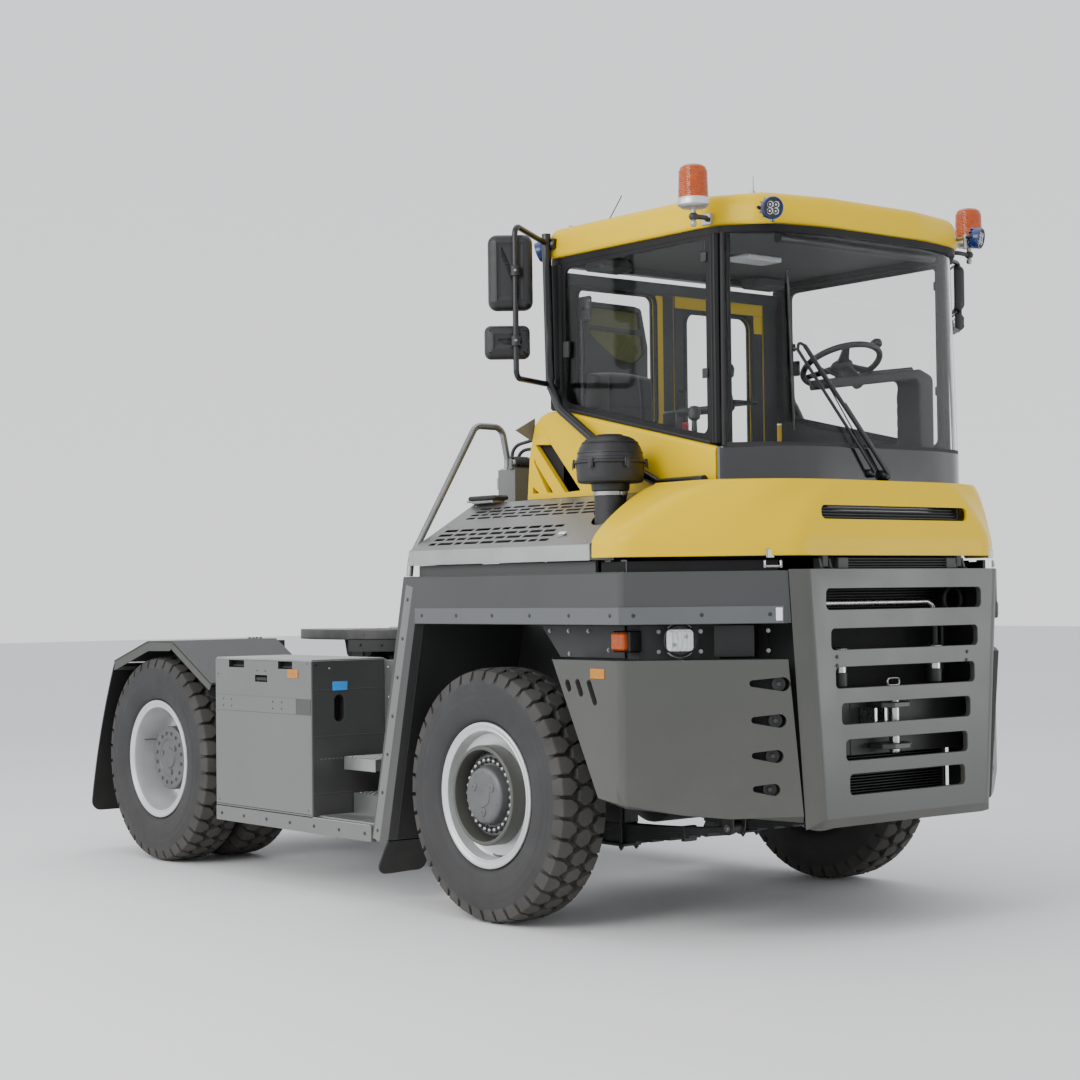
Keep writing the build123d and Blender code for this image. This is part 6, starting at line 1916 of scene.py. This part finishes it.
def flap(g, s, a, b, x0, x1, bow, r, t=6.0, n=16):
    """Hanging rubber sheet: slightly bowed, lower corners rounded."""
    a, b = Vector(a), Vector(b)
    d = (b - a)
    L = d.length
    d.normalize()
    nrm = Vector((-d.y, d.x))
    if nrm.x < 0:
        nrm = -nrm
    ts = [k / n * (1 - r / L) for k in range(n + 1)] + [1 - r / L + r / L * sin(radians(q)) for q in (15, 30, 45, 60, 75, 90)]
    rings = []
    for f in ts:
        c = a + d * (L * f) + nrm * (bow * 4 * f * (1 - f))
        over = max(0.0, f * L - (L - r))
        k = r - sqrt(max(0.0, r * r - over * over))
        xs = [x0 + k + (x1 - x0 - 2 * k) * i / 8 for i in range(9)]
        wave = lambda x: 3.0 * sin((x - x0) / (x1 - x0) * 2 * pi) * f
        rings.append([V(s * x, c.x + nrm.x * (wave(x) - t), c.y + nrm.y * (wave(x) - t)) for x in xs] +
                     [V(s * x, c.x + nrm.x * (wave(x) + t), c.y + nrm.y * (wave(x) + t)) for x in reversed(xs)])
    g.loft(rings, FLAP)


g = Geo()
for s in (-1, 1):
    flap(g, s, (2439, 1152), (2755, 243), 604, 1254, 34, 60)
    flap(g, s, (-455, 322), (-353, 150), 964, 1254, 6, 46, 5)
    # clamp bars with bolts
    g.box(s * 608, s * 1250, 2442, 2454, 1112, 1152, GALV, 2)
    for k in range(6):
        g.bolt((s * (650 + 112 * k), 2454, 1132), (0, 1, 0), 8, 6)
make("flaps", g, "chassis", ("mud_flaps",), smooth=50)


# ------------------------------------------------------------------ platform behind the cab
def platform_paint(c, n):
    if c.z > 1692:
        return 0
    return 1 if c.z > 1655 else 2


softened("rear_platform", "chassis", 4, GREY, paint=platform_paint, mats=(OLIVE, CHASSIS))
g, gk = Geo(), Geo()
grating(g, -790, -672, -1180, -610, 1689, GALV, 26, 56, 8)
grating(g, -664, 792, -1180, -770, 1689, GALV, 26, 60, 8)
grating(g, -462, 792, -762, -612, 1689, GALV, 26, 60, 8)
make("platform_grating", g, "chassis")
# cabinet: door, hinges, latch, cable glands; coiled line and its end on top
gk.box(-660, -476, -622, -616, 1720, 2160, GREY, 3)
for z in (1790, 2080):
    gk.tube([(-660, -616, z), (-660, -616, z + 60)], 7, ZINC, 0, 10)
gk.box(-510, -488, -618, -606, 1920, 1980, BLACK, 3)
for k in range(4):
    gk.lathe([(0, 16), (10, 16), (12, 12), (24, 12), (24, 0)], (-640 + 44 * k, -690, 2180), (0, 0, 1), PLASTIC, 14)
coil = [V(-664 + 100 * k / 120, -740 + 26 * cos(2 * pi * k / 15), 2214 + 26 * sin(2 * pi * k / 15)) for k in range(121)]
gk.tube(coil, 5.2, PLASTIC, 0, 8)
gk.tube([(-666, -740, 2214), (-556, -740, 2214)], 14, WHITE, 0, 14)
gk.box(-680, -548, -756, -724, 2178, 2192, GREY, 2)
gk.box(-680, -672, -752, -728, 2190, 2232, GREY, 2)
gk.box(-556, -548, -752, -728, 2190, 2232, GREY, 2)
gk.tube([(-560, -740, 2226), (-520, -744, 2262), (-470, -756, 2250), (-440, -780, 2150), (-440, -790, 1700)], 8, YELLOW, 40, 10)
gk.tube([(-630, -690, 2204), (-620, -690, 2300), (-560, -800, 2330), (-420, -1100, 2200), (-420, -1196, 2150)], 9, HOSE, 60, 10)
gk.tube([(-596, -690, 2204), (-580, -700, 2280), (-500, -820, 2290), (-360, -1100, 2160), (-360, -1196, 2120)], 9, HOSE, 60, 10)
# foot of the right handrail on the cabinet
gk.lathe([(0, 36), (6, 36), (8, 30), (8, 17)], (-618, -640, 2180), (0, 0, 1), ZINC, 20)
# grey corner bracket off the quarter panel
gk.prism([Vector((-770, 2286)), Vector((-893, 2346)), Vector((-770, 2410))], lambda p: V(p[0], -1062, p[1]), (0, 7, 0), GREY, 1.5)
gk.bolt((-800, -1055, 2330), (0, 1, 0), 7, 5)
gk.bolt((-800, -1055, 2366), (0, 1, 0), 7, 5)
# platform posts' feet and bolts, cab mounts on the rails
for s in (-1, 1):
    for y in (-1120, -660):
        gk.box(s * 342, s * 428, y - 60, y + 60, 1048, 1062, CHASSIS, 3)
        for dy in (-45, 45):
            gk.bolt((s * 356, y + dy, 1062), (0, 0, 1), 8, 6)
            gk.bolt((s * 414, y + dy, 1062), (0, 0, 1), 8, 6)
    for y in (-1300, -2280):
        gk.box(s * 352, s * 424, y - 40, y + 40, 1050, 1690, CHASSIS, 6)
        gk.lathe([(0, 52), (8, 52), (10, 46), (22, 56), (34, 46), (46, 56), (58, 46), (62, 52), (74, 52)], (s * 388, y, 1688), (0, 0, 1), RUBBER, 24)
make("platform_fittings", gk, "chassis", smooth=40)

# ------------------------------------------------------------------ leaf springs
g = Geo()
YF0 = -1230.0
LEAVES = ((850, 640), (822, 612), (690, 520), (560, 420), (430, 320), (300, 220), (180, 140))
for s in (-1, 1):
    for k, (fore, aft) in enumerate(LEAVES):
        path = []
        for i in range(29):
            d = -fore + (fore + aft) * i / 28
            path.append(V(s * 415, YF0 + d, 406.5 - 13.2 * k + (44 * (d / 850) ** 2 if d < 0 else 56 * (d / 640) ** 2)))
        g.sweep(path, [(-38, -6.2), (-36, -6.2), (38, -6.2), (38, 6.2), (36, 6.2), (-38, 6.2)], CAST)
    for ye, ze in ((YF0 - 826, 449), (YF0 + 612, 460)):
        g.lathe([(-44, 0), (-44, 24), (44, 24), (44, 0)], (s * 415, ye, ze), (1, 0, 0), CAST, 20)
        for x in (372, 450):
            g.prism(fillet2d([(ye - 70, 802), (ye + 70, 802), (ye + 34, ze - 32), (ye - 34, ze - 32)], [2, 2, 32, 32], 5),
                    lambda p, s=s, x=x: V(s * x, p[0], p[1]), (s * 8, 0, 0), CHASSIS, 1.5)
        g.box(s * 376, s * 452, ye - 34, ye + 34, 560, 802, CHASSIS, 4)
        g.bolt((s * 458, ye, ze), (s, 0, 0), 13, 9, ZINC)
    # rebound clips, clamp bolts round the axle, plate under the pack
    for y, z in ((YF0 - 520, 392), (YF0 + 370, 396)):
        g.box(s * 374, s * 456, y - 14, y + 14, z - 30, z + 44, CHASSIS, 3)
    for y in (YF0 - 84, YF0 + 84):
        g.tube([(s * 366, y, 296), (s * 366, y, 702), (s * 464, y, 702), (s * 464, y, 296)], 9, CHASSIS, 16, 10)
        for x in (366, 464):
            g.nut((s * x, y, 304), (0, 0, -1), 13, 12, CHASSIS)
    g.box(s * 354, s * 476, YF0 - 112, YF0 + 112, 304, 319, CAST, 4)
make("leaf_springs", g, "chassis", ("front_leaf_springs",), smooth=40)

# ------------------------------------------------------------------ fifth wheel
softened("fifth_wheel", "fifth_wheel", 6, GREASED, seg=3, paint=lambda c, n: 1 if c.z < 1288 else 0, mats=(CHASSIS,))
g = Geo()
RC, YC = 473.9, 1223.9
arc = [V((RC - 9) * sin(t), YC - (RC - 9) * cos(t), 1256) for t in [radians(-74 + 148 * k / 48) for k in range(49)]]
g.sweep(arc, [(-4, -34), (4, -34), (4, 36), (-4, 36)], CHASSIS)
for k in range(9):
    t = radians(-64 + 16 * k)
    n = V(sin(t), -cos(t), 0)
    g.bolt(V(0, YC, 1262) + n * (RC - 5), n, 8, 6, CHASSIS)
for k in (-1, 0, 1):
    t = radians(30 * k)
    n = V(sin(t), -cos(t), 0)
    g.box(-7, 7, -16, 10, 1226, 1352, CHASSIS, 3, Matrix.Translation(V(0, YC, 0) + n * (RC - 2)) @ Matrix.Rotation(t, 4, "Z"))
# worn ring round the pin hole, and grease grooves as thin shadow-black strips: painted shade for their depth
g.lathe([(-4, 26), (1.6, 27), (2.2, 30), (2.2, 64), (0, 67)], (0, 1220, 1349), (0, 0, 1), STEEL, 40)
for r, a0, a1 in ((130, -150, 150), (230, -128, 128), (330, -104, 104), (410, -76, 76)):
    pts = [V(r * sin(t), 1220 - r * cos(t), 1350.3) for t in [radians(a0 + (a1 - a0) * k / 40) for k in range(41)]]
    pts = [p for p in pts if abs(p.x) < 440 and p.y < 1440]
    g.sweep(pts, [(-6, -0.8), (6, -0.8), (5, 0.5), (-5, 0.5)], SHADE_BLACK)
# release bar and its knob, saddle caps
g.tube([(120, 1420, 1278), (430, 1420, 1278), (462, 1420, 1262)], 9, STEEL, 20, 10)
g.lathe([(0, 14), (4, 17), (12, 17), (16, 12), (16, 0)], (462, 1420, 1262), (1, 0, -0.5), CHASSIS, 14)
for s in (-1, 1):
    g.lathe([(0, 56), (8, 56), (10, 50), (10, 0)], (s * 295, 1220, 1200), (s, 0, 0), CAST, 28)
    for k in range(4):
        t = pi / 4 + k * pi / 2
        g.bolt((s * 305, 1220 + 40 * cos(t), 1200 + 40 * sin(t)), (s, 0, 0), 7, 5, ZINC)
make("fifth_wheel_fittings", g, "fifth_wheel", smooth=40)

# ------------------------------------------------------------------ lift details
g = Geo()
for s in (-1, 1):
    # pivot caps with their bolts
    for y, z, r in ((330, 960, 70), (760, 690, 50)):
        g.lathe([(0, r), (10, r), (13, r - 5), (13, 0)], (s * 430, y, z), (s, 0, 0), CAST, 28)
        for k in range(4):
            t = pi / 4 + k * pi / 2
            g.bolt((s * 443, y + 0.68 * r * cos(t), z + 0.68 * r * sin(t)), (s, 0, 0), 7, 5)
    # bolt rows along the rails
    for k in range(30):
        y = -2420 + 170 * k
        if abs(y - 330) < 110 or y > 2600:
            continue
        for z in (846, 1004):
            g.bolt((s * 430, y, z), (s, 0, 0), 9, 6, CHASSIS)
    # brake chambers by the rear axle, air tanks between the rails
    g.lathe([(0, 0), (0, 50), (8, 72), (40, 78), (44, 86), (54, 86), (58, 78), (96, 72), (110, 40), (110, 0)], (s * 480, 2110, 560), (0, 1, 0), BLACK, 28)
    g.tube([(s * 480, 2112, 560), (s * 480, 2030, 560)], 10, STEEL, 0, 10)
    g.lathe([(0, 0), (2, 40), (14, 92), (40, 117), (60, 120), (330, 120), (350, 117), (376, 92), (388, 40), (390, 0)], (s * 165, 2238, 925), (0, 1, 0), BLACK, 36)
    for y in (2320, 2540):
        g.lathe([(-14, 121), (-14, 124), (14, 124), (14, 121)], (s * 165, y, 925), (0, 1, 0), STEEL, 36)
        g.box(s * 150, s * 180, y - 14, y + 14, 1040, 1066, CHASSIS, 3)
    # rigid lines along the inside of each rail
    for k, z in enumerate((1010, 985, 960)):
        g.tube([(s * 334, -2380, z), (s * 334, -700, z), (s * 334, -480, z), (s * 334, 200, z)], 6, HOSE if k else STEEL, 0, 8)
    g.tube([(s * 334, 1400, 1000), (s * 334, 2230, 1000), (s * 300, 2230, 1000)], 6, HOSE, 20, 8)
g.box(-300, 300, 2424, 2436, 1062, 1072, CHASSIS, 2)
# rear crossmember: blank plate on its holder, sockets, bolts
g.box(-262, 262, 2738, 2746, 892, 1012, PLASTIC, 3)
g.box(-254, 254, 2744, 2749, 900, 1004, WHITE, 1.5)
for s in (-1, 1):
    g.lathe([(0, 34), (8, 34), (10, 28), (22, 28), (24, 24), (24, 0)], (s * 350, 2740, 1010), (0, 1, 0), PLASTIC, 20)
    g.lathe([(0, 30), (6, 30), (8, 22), (20, 22), (22, 0)], (s * 420, 2740, 1010), (0, 1, 0), SURROUND if s < 0 else YELLOW, 20)
    for x in (300, 580):
        for z in (820, 1040):
            g.bolt((s * x, 2740, z), (0, 1, 0), 10, 7, CHASSIS)
    g.prism(fillet2d([(-40, 780), (40, 780), (40, 690), (-40, 690)], [2, 2, 38, 38], 6), lambda p, s=s: V(s * 360 + p[0], 2690, p[1]), (0, 24, 0), CHASSIS, 2)
make("frame_fittings", g, "chassis", smooth=40)


# ------------------------------------------------------------------ stage
def studio():
    me = bpy.data.meshes.new("floor")
    s = 60.0
    me.from_pydata([(-s, -s, -0.0005), (s, -s, -0.0005), (s, s, -0.0005), (-s, s, -0.0005)], [], [(0, 1, 2, 3)])
    o = bpy.data.objects.new("floor", me)
    bpy.context.scene.collection.objects.link(o)
    me.materials.append(surface("floor_pale", (0.80, 0.80, 0.80), 0.62, var=0.01, scale=0.4, bump=0.0, spec=0.25))
    world = bpy.data.worlds.new("studio")
    bpy.context.scene.world = world
    world.use_nodes = True
    nt = world.node_tree
    nt.nodes.clear()
    out = nt.nodes.new("ShaderNodeOutputWorld")
    bg = nt.nodes.new("ShaderNodeBackground")
    tc = nt.nodes.new("ShaderNodeTexCoord")
    sep = nt.nodes.new("ShaderNodeSeparateXYZ")
    r = nt.nodes.new("ShaderNodeValToRGB")
    r.color_ramp.elements[0].position, r.color_ramp.elements[0].color = 0.0, (0.92, 0.93, 0.95, 1)
    r.color_ramp.elements[1].position, r.color_ramp.elements[1].color = 0.9, (0.70, 0.72, 0.76, 1)
    nt.links.new(tc.outputs["Generated"], sep.inputs[0])
    nt.links.new(sep.outputs[2], r.inputs[0])
    nt.links.new(r.outputs[0], bg.inputs[0])
    bg.inputs[1].default_value = 1.35
    nt.links.new(bg.outputs[0], out.inputs[0])

    def area(name, at, look, size, power, size_y=None):
        d = bpy.data.lights.new(name, "AREA")
        d.energy, d.size = power, size
        if size_y:
            d.shape, d.size_y = "RECTANGLE", size_y
        o = bpy.data.objects.new(name, d)
        o.location = at
        o.rotation_euler = (Vector(look) - Vector(at)).to_track_quat("-Z", "Y").to_euler()
        bpy.context.scene.collection.objects.link(o)
    area("key", (-9.5, -3.2, 6.5), (0, -0.8, 1.3), 5.0, 640)
    area("side", (-9.0, 3.0, 4.5), (0, 0.8, 1.0), 5.0, 220)
    area("front", (5.6, -9.0, 1.35), (0.3, -2.6, 1.4), 5.0, 120, 1.8)
    area("top", (0.0, 0.5, 9.0), (0, 0.4, 0), 8.0, 200)


studio()
